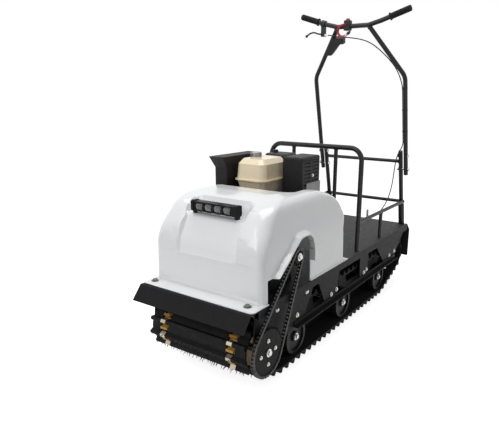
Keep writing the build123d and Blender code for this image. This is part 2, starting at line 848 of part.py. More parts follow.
# Lamp bar on the hood's ledge: four lenses in one housing, with an end cap and a foot on each side
lamp_front = Plane((lamp_x + lamp_depth / 2, 0, lamp_z), x_dir=(0, 1, 0), z_dir=(1, 0, 0))
with BuildPart() as lamp_housing:
    with Locations((lamp_x, 0, lamp_z)):
        Box(lamp_depth, lamp_length, lamp_height)
    with BuildSketch(lamp_front):
        with GridLocations(lens_pitch, lens_height, lens_count, 1):
            Rectangle(lens_width, lens_height)
    extrude(amount=-lens_depth, mode=Mode.SUBTRACT)
    for _, sign in SIDES:
        lamp_end_y = sign * (lamp_length + lamp_cap_width) / 2
        with BuildSketch(Plane.XZ.offset(-lamp_end_y)):
            with Locations((lamp_x, lamp_z)):
                RectangleRounded(lamp_depth + 6.0, lamp_height + 6.0, 10.0)
        extrude(amount=lamp_cap_width / 2, both=True)
        lamp_foot_height = lamp_z - lamp_height / 2 - ledge_z
        with Locations((lamp_x, lamp_end_y, ledge_z)):
            Box(lamp_foot_length, lamp_cap_width, lamp_foot_height, align=(Align.CENTER, Align.CENTER, Align.MIN))
write(lamp_housing, "lamp_housing")

with BuildPart() as lamp_lens:
    with BuildSketch(lamp_front.offset(-lens_depth)):
        with GridLocations(lens_pitch, lens_height, lens_count, 1):
            Rectangle(lens_width - 2 * fit_clearance, lens_height - 2 * fit_clearance)
    extrude(amount=lens_depth - 1.0)
write(lamp_lens, "lamp_lens")

# Engine: block, tank, muffler guard and air box
with BuildPart() as engine_block:
    with BuildSketch(Plane.XZ.offset(-engine_y)):
        with BuildLine():
            Polyline(
                (130.0, deck_top_z),
                (380.0, deck_top_z),
                (390.0, 430.0),
                (390.0, 560.0),
                (350.0, 640.0),
                (350.0, tank_bottom_z),
                (60.0, tank_bottom_z),
                (60.0, 500.0),
                (130.0, 470.0),
                close=True,
            )
        make_face()
    extrude(amount=engine_half_width, both=True)
write(engine_block, "engine_block")

with BuildPart() as fuel_tank:
    tank_levels = (
        # height, how far the outline is drawn in
        (tank_bottom_z, 14.0),
        (tank_seam_z, 0.0),
        (tank_top_z - 22.0, 6.0),
        (tank_top_z, 26.0),
    )
    for low, high in zip(tank_levels[:-1], tank_levels[1:]):
        for level, draw in (low, high):
            with BuildSketch(Plane.XY.offset(level)):
                with Locations((tank_x, tank_y)):
                    RectangleRounded(tank_length - 2 * draw, tank_width - 2 * draw, tank_corner - draw / 2)
        loft()
    with BuildSketch(Plane.XY.offset(tank_seam_z - seam_thickness / 2)):
        with Locations((tank_x, tank_y)):
            RectangleRounded(
                tank_length + 2 * seam_overhang, tank_width + 2 * seam_overhang, tank_corner + seam_overhang
            )
    extrude(amount=seam_thickness)
write(fuel_tank, "fuel_tank")

with BuildPart() as fuel_cap:
    with BuildSketch(Plane.XY.offset(tank_top_z)):
        with Locations((cap_x, cap_y)):
            Circle(cap_radius)
    extrude(amount=cap_height)
    fillet(fuel_cap.edges().group_by(Axis.Z)[-1], 4.0)
write(fuel_cap, "fuel_cap")

muffler_front_x = 232.0
muffler_length = 178.0
muffler_left_y = 130.0
muffler_width = 108.0
muffler_bottom_z = 706.0
muffler_top_z = 886.0
with BuildPart() as muffler_guard:
    with BuildSketch(Plane.XY.offset(muffler_bottom_z)):
        with Locations((muffler_front_x - muffler_length / 2, muffler_left_y - muffler_width / 2)):
            RectangleRounded(muffler_length, muffler_width, 12.0)
    extrude(amount=muffler_top_z - muffler_bottom_z)
    fillet(muffler_guard.edges().group_by(Axis.Z)[-1], 10.0)
    louvre_count = 7
    louvre_pitch = 17.0
    with BuildSketch(Plane.XZ.offset(-muffler_left_y)):
        with Locations((muffler_front_x - muffler_length / 2, muffler_top_z - 80.0)):
            with GridLocations(74.0, louvre_pitch, 2, louvre_count):
                SlotOverall(58.0, 7.0)
    extrude(amount=4.0, mode=Mode.SUBTRACT)
write(muffler_guard, "muffler_guard")

with BuildPart() as muffler_bracket:
    with Locations((muffler_front_x - muffler_length / 2, engine_y + engine_half_width, muffler_bottom_z)):
        Box(90.0, muffler_left_y - engine_y - engine_half_width - 14.0, 66.0, align=(Align.CENTER, Align.MIN, Align.MAX))
write(muffler_bracket, "muffler_bracket")

heat_shield_length = 134.0
heat_shield_height = 56.0
with BuildPart() as heat_shield:
    with Locations((muffler_front_x - muffler_length, muffler_left_y + fit_clearance, muffler_bottom_z)):
        Box(heat_shield_length, 2.0, heat_shield_height, align=(Align.MIN, Align.MIN, Align.MIN))
write(heat_shield, "heat_shield")

# Air box: an upright duct whose rim flares out at the front and right
air_box_front_x = 392.0
air_box_rear_x = 112.0
air_box_right_y = -248.0
air_box_left_y = -180.0
air_box_bottom_z = 640.0
air_box_rim_z = 832.0
air_box_top_z = 884.0
air_box_flare = 28.0
intake_radius = 26.0
with BuildPart() as air_box:
    with BuildSketch(Plane.XY.offset(air_box_bottom_z)):
        with Locations((air_box_rear_x, air_box_left_y)):
            Rectangle(
                air_box_front_x - air_box_rear_x, air_box_left_y - air_box_right_y, align=(Align.MIN, Align.MAX)
            )
    extrude(amount=air_box_rim_z - air_box_bottom_z)
    for level, flare in ((air_box_rim_z, 0.0), (air_box_top_z, air_box_flare)):
        with BuildSketch(Plane.XY.offset(level)):
            with Locations((air_box_rear_x, air_box_left_y)):
                Rectangle(
                    air_box_front_x - air_box_rear_x + flare,
                    air_box_left_y - air_box_right_y + flare / 2,
                    align=(Align.MIN, Align.MAX),
                )
    loft()
    with BuildSketch(Plane.XZ.offset(-air_box_left_y)):
        with Locations((air_box_rear_x + 60.0, air_box_bottom_z + 34.0)):
            Circle(intake_radius)
    extrude(amount=-(engine_y - engine_half_width - air_box_left_y))
write(air_box, "air_box")

# Air cleaner behind the tank: a neck, a lid and a round knob
cleaner_x = 38.0
cleaner_y = -108.0
cleaner_length = 126.0
cleaner_width = 132.0
cleaner_bottom_z = 800.0
cleaner_top_z = 878.0
cleaner_neck_x = 84.0
cleaner_neck_radius = 16.0
knob_radius = 14.0
with BuildPart() as air_cleaner:
    with BuildSketch(Plane.XY.offset(cleaner_bottom_z)):
        with Locations((cleaner_x, cleaner_y)):
            RectangleRounded(cleaner_length, cleaner_width, 24.0)
    extrude(amount=cleaner_top_z - cleaner_bottom_z)
    fillet(air_cleaner.edges().group_by(Axis.Z)[-1], 14.0)
    with BuildSketch(Plane.XY.offset(tank_bottom_z)):
        with Locations((cleaner_neck_x, cleaner_y)):
            Circle(cleaner_neck_radius)
    extrude(amount=cleaner_bottom_z - tank_bottom_z)
    with BuildSketch(Plane.XY.offset(cleaner_top_z)):
        with Locations((cleaner_x, cleaner_y - cleaner_width / 4)):
            Circle(knob_radius)
    extrude(amount=knob_radius)
write(air_cleaner, "air_cleaner")

# Hoop behind the hood, with two upright bars
hoop = tube(
    (
        (hoop_x, -hoop_half_width, rail_top_z),
        (hoop_x, -hoop_half_width, hoop_top_z),
        (hoop_x, hoop_half_width, hoop_top_z),
        (hoop_x, hoop_half_width, rail_top_z),
    ),
    hoop_bend_radius,
    tube_radius,
    tube_wall,
)
write(hoop, "hoop")
with BuildPart() as hoop_bars:
    for _, sign in SIDES:
        bar_foot = (hoop_x, sign * hoop_bar_y, rail_top_z)
        bar_head = (hoop_x, sign * hoop_bar_y, hoop_top_z)
        add(tube((bar_foot, bar_head), None, side_rail_radius, 0.0).part)
    with BuildSketch(Plane.XZ):
        with Locations((hoop_x, hoop_top_z)):
            Circle(tube_radius)
    extrude(amount=hoop_half_width, both=True, mode=Mode.SUBTRACT)
    split(bisect_by=Plane.XY.offset(hoop_top_z), keep=Keep.BOTTOM)
write(hoop_bars, "hoop_bars")

# Rear posts, their crossbars, and the low side rails
with BuildPart() as rear_posts:
    for _, sign in SIDES:
        post_y = sign * post_half_width
        sunk_z = rail_top_z - socket_radius
        foot = (post_x(sunk_z), post_y, sunk_z)
        socket_head = (post_x(socket_top_z), post_y, socket_top_z)
        head = (post_x(post_top_z), post_y, post_top_z)
        add(tube((foot, head), None, tube_radius, 0.0).part)
        add(tube((foot, socket_head), None, socket_radius, 0.0).part)
        with Locations((post_base_x, post_y, rail_top_z)):
            below = 4 * socket_radius
            Box(below, below, below, align=(Align.CENTER, Align.CENTER, Align.MAX), mode=Mode.SUBTRACT)
        with BuildSketch(Plane.XZ.offset(-sign * (post_half_width + tube_radius))):
            with Locations((post_x(pivot_z), pivot_z)):
                Circle(pivot_radius + pivot_clearance)
        extrude(amount=sign * 2 * tube_radius, mode=Mode.SUBTRACT)
write(rear_posts, "rear_posts")

with BuildPart() as crossbars:
    with BuildSketch(Plane.XZ):
        with Locations(*[(post_x(z), z) for z in (crossbar_low_z, crossbar_high_z)]):
            Circle(side_rail_radius)
    extrude(amount=post_half_width - tube_radius + 2.0, both=True)
    add(rear_posts.part, mode=Mode.SUBTRACT)
write(crossbars, "crossbars")

with BuildPart() as side_rails:
    for _, sign in SIDES:
        rail_front = (hoop_x, sign * side_rail_y, side_rail_z)
        rail_rear = (post_x(side_rail_z), sign * side_rail_y, side_rail_z)
        add(tube((rail_front, rail_rear), None, side_rail_radius, 0.0).part)
        stub_foot = (side_stub_x, sign * side_rail_y, rail_top_z)
        stub_head = (side_stub_x, sign * side_rail_y, side_rail_z)
        add(tube((stub_foot, stub_head), None, side_rail_radius, 0.0).part)
        leg_foot = (hoop_x, sign * hoop_half_width, rail_top_z)
        leg_head = (hoop_x, sign * hoop_half_width, hoop_top_z)
        add(tube((leg_foot, leg_head), None, tube_radius, 0.0).part, mode=Mode.SUBTRACT)
    add(rear_posts.part, mode=Mode.SUBTRACT)
    split(bisect_by=Plane.YZ.offset(hoop_x), keep=Keep.BOTTOM)
write(side_rails, "side_rails")

# Pivot bolts of the fold
bolt_inner_y = post_half_width - tube_radius - pivot_head
bolt_outer_y = handle_half_width + tube_radius + 1.0
with BuildPart() as fold_bolts:
    for _, sign in SIDES:
        with BuildSketch(Plane.XZ.offset(-sign * bolt_inner_y)):
            with Locations((post_x(pivot_z), pivot_z)):
                Circle(pivot_radius)
        extrude(amount=-sign * (bolt_outer_y - bolt_inner_y))
        for head_y in (bolt_inner_y - 1.0, bolt_outer_y):
            with BuildSketch(Plane.XZ.offset(-sign * head_y)):
                with Locations((post_x(pivot_z), pivot_z)):
                    RegularPolygon(pivot_head_radius, 6)
            extrude(amount=-sign * pivot_head)
write(fold_bolts, "fold_bolts")

# Handlebar: two side tubes that lean in, and a bar with risen ends and grips
grip_run = Vector(0, grip_end_y - riser_y, grip_end_z - riser_z).normalized()
bar_points = (
    (handle_join_x, -grip_end_y, grip_end_z),
    (handle_join_x, -riser_y, riser_z),
    (handle_join_x, -handle_join_y, handle_join_z),
    (handle_join_x, handle_join_y, handle_join_z),
    (handle_join_x, riser_y, riser_z),
    (handle_join_x, grip_end_y, grip_end_z),
)
bar = tube(bar_points, 60.0, tube_radius, 0.0)
write(bar, "handlebar")
bar_clear = tube(bar_points, 60.0, tube_radius + fit_clearance, 0.0)

with BuildPart() as handle_tubes:
    for _, sign in SIDES:
        tube_low = (post_x(handle_low_z), sign * handle_half_width, handle_low_z)
        tube_bend = (post_x(handle_bend_z), sign * handle_half_width, handle_bend_z)
        tube_join = (handle_join_x, sign * handle_join_y, handle_join_z)
        add(tube((tube_low, tube_bend, tube_join), handle_bend_radius, tube_radius, 0.0).part)
        with BuildSketch(Plane.XZ.offset(-sign * (handle_half_width + tube_radius))):
            with Locations((post_x(pivot_z), pivot_z)):
                Circle(pivot_radius + pivot_clearance)
        extrude(amount=sign * 2 * tube_radius, mode=Mode.SUBTRACT)
    add(bar_clear.part, mode=Mode.SUBTRACT)
    for cut_tube in handle_tubes.part.solids().sort_by(SortBy.VOLUME)[:-2]:
        add(cut_tube, mode=Mode.SUBTRACT)
write(handle_tubes, "handle_tubes")

with BuildPart() as grips:
    for _, sign in SIDES:
        along = Vector(0, sign * grip_run.Y, grip_run.Z)
        grip_end = Vector(handle_join_x, sign * grip_end_y, grip_end_z)
        with BuildSketch(Plane(grip_end + along * 4.0, z_dir=along * -1)):
            Circle(grip_radius)
        extrude(amount=grip_length)
        with BuildSketch(Plane(grip_end - along * (grip_length - 4.0), z_dir=along)):
            Circle(grip_flange_radius)
        extrude(amount=grip_flange)
        with BuildSketch(Plane(grip_end + along * 0.2, z_dir=along * -1)):
            Circle(tube_radius + fit_clearance)
        extrude(amount=grip_length, mode=Mode.SUBTRACT)
write(grips, "grips")

# Brake lever: a clamp on the bar, a perch below it and a bent lever with a ball end
right_run = Vector(0, -grip_run.Y, grip_run.Z)
perch_z = riser_z + (abs(perch_y) - riser_y) * grip_run.Z / grip_run.Y
with BuildPart() as brake_lever:
    with BuildSketch(Plane((handle_join_x, perch_y, perch_z), z_dir=right_run)):
        Circle(perch_radius)
    extrude(amount=perch_width / 2, both=True)
    with Locations((handle_join_x, perch_y, perch_bottom_z)):
        Box(perch_depth, perch_width, perch_z - perch_bottom_z, align=(Align.CENTER, Align.CENTER, Align.MIN))
    add(bar_clear.part, mode=Mode.SUBTRACT)
    add(cord("brake lever", lever_points, lever_radius).part)
    with Locations(lever_points[-1]):
        Sphere(lever_ball_radius)
write(brake_lever, "brake_lever")

# Stop switch on the bar, with the tether's ring in front of it
with BuildPart() as stop_switch:
    with Locations((handle_join_x, switch_y, switch_z)):
        Box(switch_depth, switch_width, switch_height)
    fillet(stop_switch.edges(), 6.0)
    add(bar_clear.part, mode=Mode.SUBTRACT)
write(stop_switch, "stop_switch")

tether_x = handle_join_x + switch_depth / 2 + seat_gap + tether_radius
tether_points = []
for i in range(int((tether_last_angle - tether_first_angle) / tether_step) + 1):
    angle = radians(tether_first_angle + i * tether_step)
    ring_y = tether_y + tether_ring_radius * cos(angle)
    ring_z = tether_z + tether_ring_radius * sin(angle)
    tether_points.append((tether_x, ring_y, ring_z))
tether = cord("tether", tether_points, tether_radius)
write(tether, "tether")

# Control box on the inner side of the right handle tube
box_lean = (handle_join_x - post_x(handle_bend_z)) / (handle_join_z - handle_bend_z)
box_middle_z = (control_box_outline[0][1] + control_box_outline[-1][1]) / 2
box_middle_x = post_x(handle_bend_z) + (box_middle_z - handle_bend_z) * box_lean
box_stretch = hypot(1.0, box_lean)
box_plane = Plane((box_middle_x, 0, box_middle_z), x_dir=(0, 1, 0), z_dir=(1, 0, -box_lean))
right_tube = tube(
    (
        (post_x(handle_bend_z), -handle_half_width, handle_bend_z),
        (handle_join_x, -handle_join_y, handle_join_z),
    ),
    None,
    tube_radius + seat_gap,
    0.0,
)
with BuildPart() as control_box:
    with BuildSketch(box_plane):
        with BuildLine():
            Polyline(*[(y, (z - box_middle_z) * box_stretch) for y, z in control_box_outline], close=True)
        make_face()
    extrude(amount=control_box_depth / 2, both=True)
    add(right_tube.part, mode=Mode.SUBTRACT)
    for left_over in control_box.part.solids().sort_by(SortBy.VOLUME)[:-1]:
        add(left_over, mode=Mode.SUBTRACT)
write(control_box, "control_box")

# Brake cable: from the perch over to the left handle tube and down its inner side
tube_run = Vector(handle_join_x, handle_join_y, handle_join_z)
tube_run = tube_run - Vector(post_x(handle_bend_z), handle_half_width, handle_bend_z)
inward = Vector(0, -1, 0) - tube_run * (Vector(0, -1, 0).dot(tube_run) / tube_run.dot(tube_run))
inward = inward.normalized() * (tube_radius + cable_radius + seat_gap)


def beside_left_tube(z):
    """The cable's place on the inner side of the left handle tube, above or below its bend."""
    if z < handle_bend_z:
        return Vector(post_x(z), handle_half_width - tube_radius - cable_radius - seat_gap, z)
    share = (z - handle_bend_z) / tube_run.Z
    return Vector(post_x(handle_bend_z), handle_half_width, handle_bend_z) + tube_run * share + inward


cable_clip_z = 905.0
cable_points = (
    (-507.0, perch_y + perch_width / 2 + seat_gap, 1496.0),
    (-507.0, -130.0, 1492.0),
    (-505.0, -75.0, 1480.0),
    (-503.0, -15.0, 1474.0),
    (-504.0, 45.0, 1465.0),
    (-516.0, 100.0, 1448.0),
    (-545.0, 148.0, 1412.0),
    tuple(beside_left_tube(1360.0)),
    tuple(beside_left_tube(1310.0)),
    tuple(beside_left_tube(1225.0)),
    tuple(beside_left_tube(cable_clip_z)),
)
brake_cable = cord("brake cable", cable_points, cable_radius)
write(brake_cable, "brake_cable")

# The cable's bow over the fold: from the handle tube down to the left side rail's stub
bow_points = (
    tuple(beside_left_tube(cable_clip_z)),
    tuple(beside_left_tube(880.0)),
    (-706.0, 240.0, 832.0),
    (-712.0, 226.0, 770.0),
    (-706.0, 224.0, 710.0),
    (-684.0, 226.0, 645.0),
    (-640.0, 230.0, 592.0),
    (-580.0, 236.0, 558.0),
    (-515.0, 242.0, 536.0),
    (side_stub_x, side_rail_y - side_rail_radius - cable_radius - seat_gap, 520.0),
)
cable_bow = cord("cable bow", bow_points, cable_radius)
write(cable_bow, "cable_bow")
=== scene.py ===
# %% [markdown]
# # A tracked snow tug
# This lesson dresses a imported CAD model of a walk-behind snow tug: a rubber track under a cargo deck,
# an engine under a white moulded hood, and a tall handlebar that folds. The solids already have the
# right shapes and places, so Blender adds what CAD leaves out: finishes, bolts, welds and fine parts.

# %% Load the frame
import random
from math import asin, atan2, cos, pi, radians, sin

import bmesh
import bpy
from mathutils import Matrix, Vector
from mathutils.bvhtree import BVHTree


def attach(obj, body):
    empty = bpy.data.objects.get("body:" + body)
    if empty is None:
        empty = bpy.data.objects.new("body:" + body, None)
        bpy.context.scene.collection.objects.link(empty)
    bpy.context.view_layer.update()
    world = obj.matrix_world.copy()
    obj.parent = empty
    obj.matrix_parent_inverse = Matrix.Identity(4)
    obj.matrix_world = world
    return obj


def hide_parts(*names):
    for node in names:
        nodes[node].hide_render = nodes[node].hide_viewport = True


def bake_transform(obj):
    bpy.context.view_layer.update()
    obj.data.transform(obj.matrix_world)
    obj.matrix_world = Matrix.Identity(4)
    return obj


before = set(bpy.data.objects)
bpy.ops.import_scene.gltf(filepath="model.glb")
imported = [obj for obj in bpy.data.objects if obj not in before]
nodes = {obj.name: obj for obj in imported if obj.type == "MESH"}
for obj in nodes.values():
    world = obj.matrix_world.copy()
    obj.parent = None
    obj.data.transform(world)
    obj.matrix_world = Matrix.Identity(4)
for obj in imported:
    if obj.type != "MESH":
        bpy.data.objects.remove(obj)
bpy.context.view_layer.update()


def put_in(name, data):
    """A new object in the scene, at the origin."""
    made = bpy.data.objects.new(name, data)
    bpy.context.collection.objects.link(made)
    return made


# %% [markdown]
# ## Camera
# A product picture is taken with a moderate lens from a standing person's chest height. A camera could be
# aimed at a point with a Track To constraint, but here its turn is worked out from three angles, so that it
# stays fixed. The small shift puts the machine where it stands in the frame.

# %% Camera at the picture's angle
camera_place = Vector((2.2295, 1.2929, 1.1584))
camera_yaw = radians(213.8)
camera_pitch = radians(15.02)
camera_roll = radians(0.43)
forward = Vector((
    cos(camera_pitch) * cos(camera_yaw),
    cos(camera_pitch) * sin(camera_yaw),
    -sin(camera_pitch),
))
right = forward.cross(Vector((0, 0, 1))).normalized()
up = right.cross(forward)
rolled_right = cos(camera_roll) * right + sin(camera_roll) * up
rolled_up = cos(camera_roll) * up - sin(camera_roll) * right
camera_data = bpy.data.cameras.new("camera")
camera_data.sensor_width = 36.0
camera_data.lens = 36.36
camera_data.shift_x = -0.0381
camera_data.shift_y = 0.033
camera = put_in("camera", camera_data)
camera_turn = Matrix((rolled_right, rolled_up, -forward)).transposed().to_4x4()
camera.matrix_world = Matrix.Translation(camera_place) @ camera_turn
bpy.context.scene.camera = camera
print("camera stands", round(camera_place.length, 2), "m from the origin")

# %% [markdown]
# ## Studio
# The machine stands in a white studio. One way is to flood it with light until the floor burns out, but
# that washes out the object too. Instead the world and the floor look white to the camera, through the
# Light Path node, while softer light falls on the machine and the floor still takes its shadow.

# %% White world
scene = bpy.context.scene
scene.view_settings.view_transform = "Standard"
white = (1, 1, 1, 1)
world_strength = 0.28


def seen_directly(tree):
    """One where a ray from the camera, a reflection or clear glass meets the surface."""
    path = tree.nodes.new("ShaderNodeLightPath")
    seen = path.outputs["Is Camera Ray"]
    for kind in ("Is Glossy Ray", "Is Transmission Ray"):
        either = tree.nodes.new("ShaderNodeMath")
        either.operation = "MAXIMUM"
        tree.links.new(seen, either.inputs[0])
        tree.links.new(path.outputs[kind], either.inputs[1])
        seen = either.outputs["Value"]
    return seen


world = bpy.data.worlds.new("studio")
world.use_nodes = True
scene.world = world
sky = world.node_tree
sky.nodes.clear()
world_mix = sky.nodes.new("ShaderNodeMixShader")
world_out = sky.nodes.new("ShaderNodeOutputWorld")
sky.links.new(seen_directly(sky), world_mix.inputs["Fac"])
for way, strength in ((1, world_strength), (2, 1.0)):
    glow = sky.nodes.new("ShaderNodeBackground")
    glow.inputs["Color"].default_value = white
    glow.inputs["Strength"].default_value = strength
    sky.links.new(glow.outputs["Background"], world_mix.inputs[way])
sky.links.new(world_mix.outputs["Shader"], world_out.inputs["Surface"])
print("world made")

# %% Pale floor
floor_size = 40.0
floor_colour = (0.72, 0.72, 0.72, 1)
floor_glow_share = 0.82
floor_mesh = bpy.data.meshes.new("floor")
floor_bm = bmesh.new()
bmesh.ops.create_grid(floor_bm, x_segments=1, y_segments=1, size=floor_size)
floor_bm.to_mesh(floor_mesh)
floor_bm.free()
floor = put_in("floor", floor_mesh)
floor_finish = bpy.data.materials.new("pale_floor")
floor_finish.use_nodes = True
floor_tree = floor_finish.node_tree
floor_tree.nodes.clear()
floor_diffuse = floor_tree.nodes.new("ShaderNodeBsdfDiffuse")
floor_diffuse.inputs["Color"].default_value = floor_colour
floor_glow = floor_tree.nodes.new("ShaderNodeEmission")
floor_glow.inputs["Color"].default_value = white
floor_lift = floor_tree.nodes.new("ShaderNodeMath")
floor_lift.operation = "MULTIPLY"
floor_lift.inputs[1].default_value = floor_glow_share
floor_tree.links.new(seen_directly(floor_tree), floor_lift.inputs[0])
floor_tree.links.new(floor_lift.outputs["Value"], floor_glow.inputs["Strength"])
floor_sum = floor_tree.nodes.new("ShaderNodeAddShader")
floor_out = floor_tree.nodes.new("ShaderNodeOutputMaterial")
floor_tree.links.new(floor_diffuse.outputs["BSDF"], floor_sum.inputs[0])
floor_tree.links.new(floor_glow.outputs["Emission"], floor_sum.inputs[1])
floor_tree.links.new(floor_sum.outputs["Shader"], floor_out.inputs["Surface"])
floor.data.materials.append(floor_finish)
print("floor made,", floor_size, "m either way")

# %% [markdown]
# ### Lamps
# A studio has a large soft key light, a weak fill for the far side and a light overhead. Spot lamps would
# leave hard shadows, so these are wide area lamps, each aimed by turning its -Z axis to a point.

# %% Soft lamps
lamp_table = (
    # name, place, aim, size, watts
    ("key_lamp", (3.6, -0.9, 2.6), (0.3, 0.0, 0.5), 2.4, 46.0),
    ("fill_lamp", (0.6, 3.8, 2.0), (0.0, 0.0, 0.4), 2.4, 3.0),
    ("top_lamp", (0.3, -0.2, 4.2), (0.0, 0.0, 0.5), 3.0, 86.0),
)
for name, place, aim, size, watts in lamp_table:
    lamp_data = bpy.data.lights.new(name, "AREA")
    lamp_data.size = size
    lamp_data.energy = watts
    lamp = put_in(name, lamp_data)
    lamp.location = place
    lamp.rotation_euler = (Vector(aim) - Vector(place)).to_track_quat("-Z", "Y").to_euler()
print("lamps made:", len(lamp_table))

# %% [markdown]
# ## Finishes
# Every finish starts from the Principled shader. A flat colour looks like a toy, so a noise pattern on
# Object coordinates breaks up the colour, the gloss and the surface a little. Object coordinates stay with
# the piece when it moves, and need no unwrapping. The loaded frame brings plain materials of the same names,
# so the new ones are kept in a dictionary and not looked up in bpy.data.

# %% Helpers for finishes
finishes = {}


def new_finish(name):
    """A new finish, kept by its name: its node tree and its Principled shader."""
    material = bpy.data.materials.new(name)
    material.use_nodes = True
    finishes[name] = material
    return material.node_tree, material.node_tree.nodes["Principled BSDF"]


def grain(tree, scale, detail):
    """A noise pattern that stays with the piece."""
    place = tree.nodes.new("ShaderNodeTexCoord")
    noise = tree.nodes.new("ShaderNodeTexNoise")
    noise.inputs["Scale"].default_value = scale
    noise.inputs["Detail"].default_value = detail
    tree.links.new(place.outputs["Object"], noise.inputs["Vector"])
    return noise.outputs["Fac"]


def vary_colour(tree, shader, pattern, first, second):
    """Blend two colours by a pattern."""
    mix = tree.nodes.new("ShaderNodeMix")
    mix.data_type = "RGBA"
    mix.inputs["A"].default_value = (*first, 1)
    mix.inputs["B"].default_value = (*second, 1)
    tree.links.new(pattern, mix.inputs["Factor"])
    tree.links.new(mix.outputs["Result"], shader.inputs["Base Color"])


def vary_gloss(tree, shader, pattern, low, high):
    """Let the roughness wander between two values."""
    spread = tree.nodes.new("ShaderNodeMapRange")
    spread.inputs["From Min"].default_value = 0.3
    spread.inputs["From Max"].default_value = 0.7
    spread.inputs["To Min"].default_value = low
    spread.inputs["To Max"].default_value = high
    tree.links.new(pattern, spread.inputs["Value"])
    tree.links.new(spread.outputs["Result"], shader.inputs["Roughness"])


def raise_grain(tree, shader, pattern, depth):
    """Turn a pattern into a shallow relief, its depth in metres."""
    bump = tree.nodes.new("ShaderNodeBump")
    bump.inputs["Strength"].default_value = 0.6
    bump.inputs["Distance"].default_value = depth
    tree.links.new(pattern, bump.inputs["Height"])
    tree.links.new(bump.outputs["Normal"], shader.inputs["Normal"])


def wear(name, *node_names):
    """Give CAD nodes a finish by its name."""
    for node in node_names:
        mesh = nodes[node].data
        mesh.materials.clear()
        mesh.materials.append(finishes[name])


def dress(name, members, colour_grain, colours, gloss_grain, gloss, relief=None, sockets=()):
    """Make a finish from its patterns, each a scale and a detail, and give it to CAD nodes."""
    tree, shader = new_finish(name)
    vary_colour(tree, shader, grain(tree, *colour_grain), *colours)
    vary_gloss(tree, shader, grain(tree, *gloss_grain), *gloss)
    if relief:
        relief_grain, depth = relief
        raise_grain(tree, shader, grain(tree, *relief_grain), depth)
    for socket, value in sockets:
        shader.inputs[socket].default_value = value
    wear(name, *members)


print("helpers ready")

# %% [markdown]
# ### Moulded hood
# The hood is thick glossy plastic with a faint orange peel. One low roughness would make it look like glass,
# so a clear coat lies over a duller base. Its white is a little under full white, so that the shading of its
# curves still shows.

# %% Hood white
dress(
    "hood_white", ("hood",),
    (2.0, 1.0), ((0.82, 0.83, 0.84), (0.84, 0.85, 0.86)), (4.0, 2.0), (0.20, 0.24),
    relief=((240.0, 2.0), 0.00003), sockets=(("Coat Weight", 0.5), ("Coat Roughness", 0.06)),
)
print("hood finished")

# %% [markdown]
# ### Painted frame
# Tubes and plates are powder coated: black with a fine texture. Each could have a node tree made by hand, but
# one recipe and a table keep them alike. The plates are duller than the tubes, because a flat sheet with the
# same shine would catch a lamp all over.

# %% Powder coats
paint_table = (
    # finish, first colour, second colour, gloss from, to, shine, CAD nodes
    ("frame_black", (0.008, 0.008, 0.009), (0.014, 0.014, 0.015), 0.32, 0.44, 0.30,
     ("hoop", "hoop_bars", "side_rails", "rear_posts", "crossbars", "handle_tubes", "handlebar",
      "tow_hitch")),
    ("plate_grey", (0.006, 0.006, 0.007), (0.011, 0.011, 0.012), 0.44, 0.58, 0.09,
     ("bumper", "angle_bars", "jackshaft_plate", "frame_rails", "cross_members", "hangers", "drive_plates",
      "engine_bed", "skid_rails", "cross_tubes")),
    ("deck_grey", (0.026, 0.026, 0.027), (0.040, 0.040, 0.042), 0.50, 0.65, 0.20, ("deck_floor",)),
    ("muffler_black", (0.008, 0.008, 0.009), (0.015, 0.015, 0.016), 0.42, 0.58, 0.22,
     ("muffler_guard", "muffler_bracket")),
    ("lever_black", (0.008, 0.008, 0.009), (0.015, 0.015, 0.016), 0.32, 0.42, 0.30, ("brake_lever",)),
    ("sprocket_black", (0.007, 0.007, 0.007), (0.013, 0.013, 0.012), 0.48, 0.62, 0.08,
     ("chain_sprocket_large", "chain_sprocket_small")),
)
for name, first, second, low, high, shine, members in paint_table:
    dress(
        name, members, (14.0, 4.0), (first, second), (60.0, 3.0), (low, high),
        relief=((900.0, 2.0), 0.0002), sockets=(("Specular IOR Level", shine),),
    )
print("painted finishes:", [row[0] for row in paint_table])

# %% [markdown]
# ### Rubber and plastic
# Rubber scatters light with almost no shine. The same recipe serves the track, the flap and the grips,
# with a coarser grain where snow and gravel have scuffed the track.

# %% Rubber and plastic
soft_table = (
    # finish, first colour, second colour, gloss from, to, shine, grain scale, depth, CAD nodes
    ("track_rubber", (0.007, 0.007, 0.008), (0.016, 0.016, 0.017), 0.60, 0.80, 0.15, 220.0, 0.0006,
     ("track",)),
    ("flap_rubber", (0.009, 0.009, 0.010), (0.015, 0.015, 0.016), 0.60, 0.75, 0.15, 300.0, 0.0004,
     ("rear_flap",)),
    ("grip_rubber", (0.009, 0.009, 0.009), (0.015, 0.015, 0.015), 0.60, 0.75, 0.20, 700.0, 0.0005,
     ("grips",)),
    ("cable_black", (0.008, 0.008, 0.008), (0.014, 0.014, 0.014), 0.40, 0.55, 0.28, 500.0, 0.0002,
     ("brake_cable", "cable_bow")),
    ("wheel_plastic", (0.010, 0.010, 0.011), (0.016, 0.016, 0.017), 0.42, 0.58, 0.20, 200.0, 0.0002,
     ("road_wheels", "rear_idlers")),
    ("drive_amber", (0.42, 0.22, 0.035), (0.55, 0.31, 0.06), 0.35, 0.50, 0.40, 120.0, 0.0003,
     ("drive_sprockets",)),
    ("air_box_black", (0.008, 0.008, 0.009), (0.015, 0.015, 0.016), 0.48, 0.62, 0.20, 500.0, 0.0002,
     ("air_box",)),
    ("control_black", (0.008, 0.008, 0.009), (0.014, 0.014, 0.015), 0.40, 0.55, 0.28, 600.0, 0.0002,
     ("stop_switch", "control_box", "air_cleaner")),
    ("tether_red", (0.46, 0.012, 0.022), (0.56, 0.020, 0.032), 0.30, 0.42, 0.45, 300.0, 0.0001,
     ("tether",)),
)
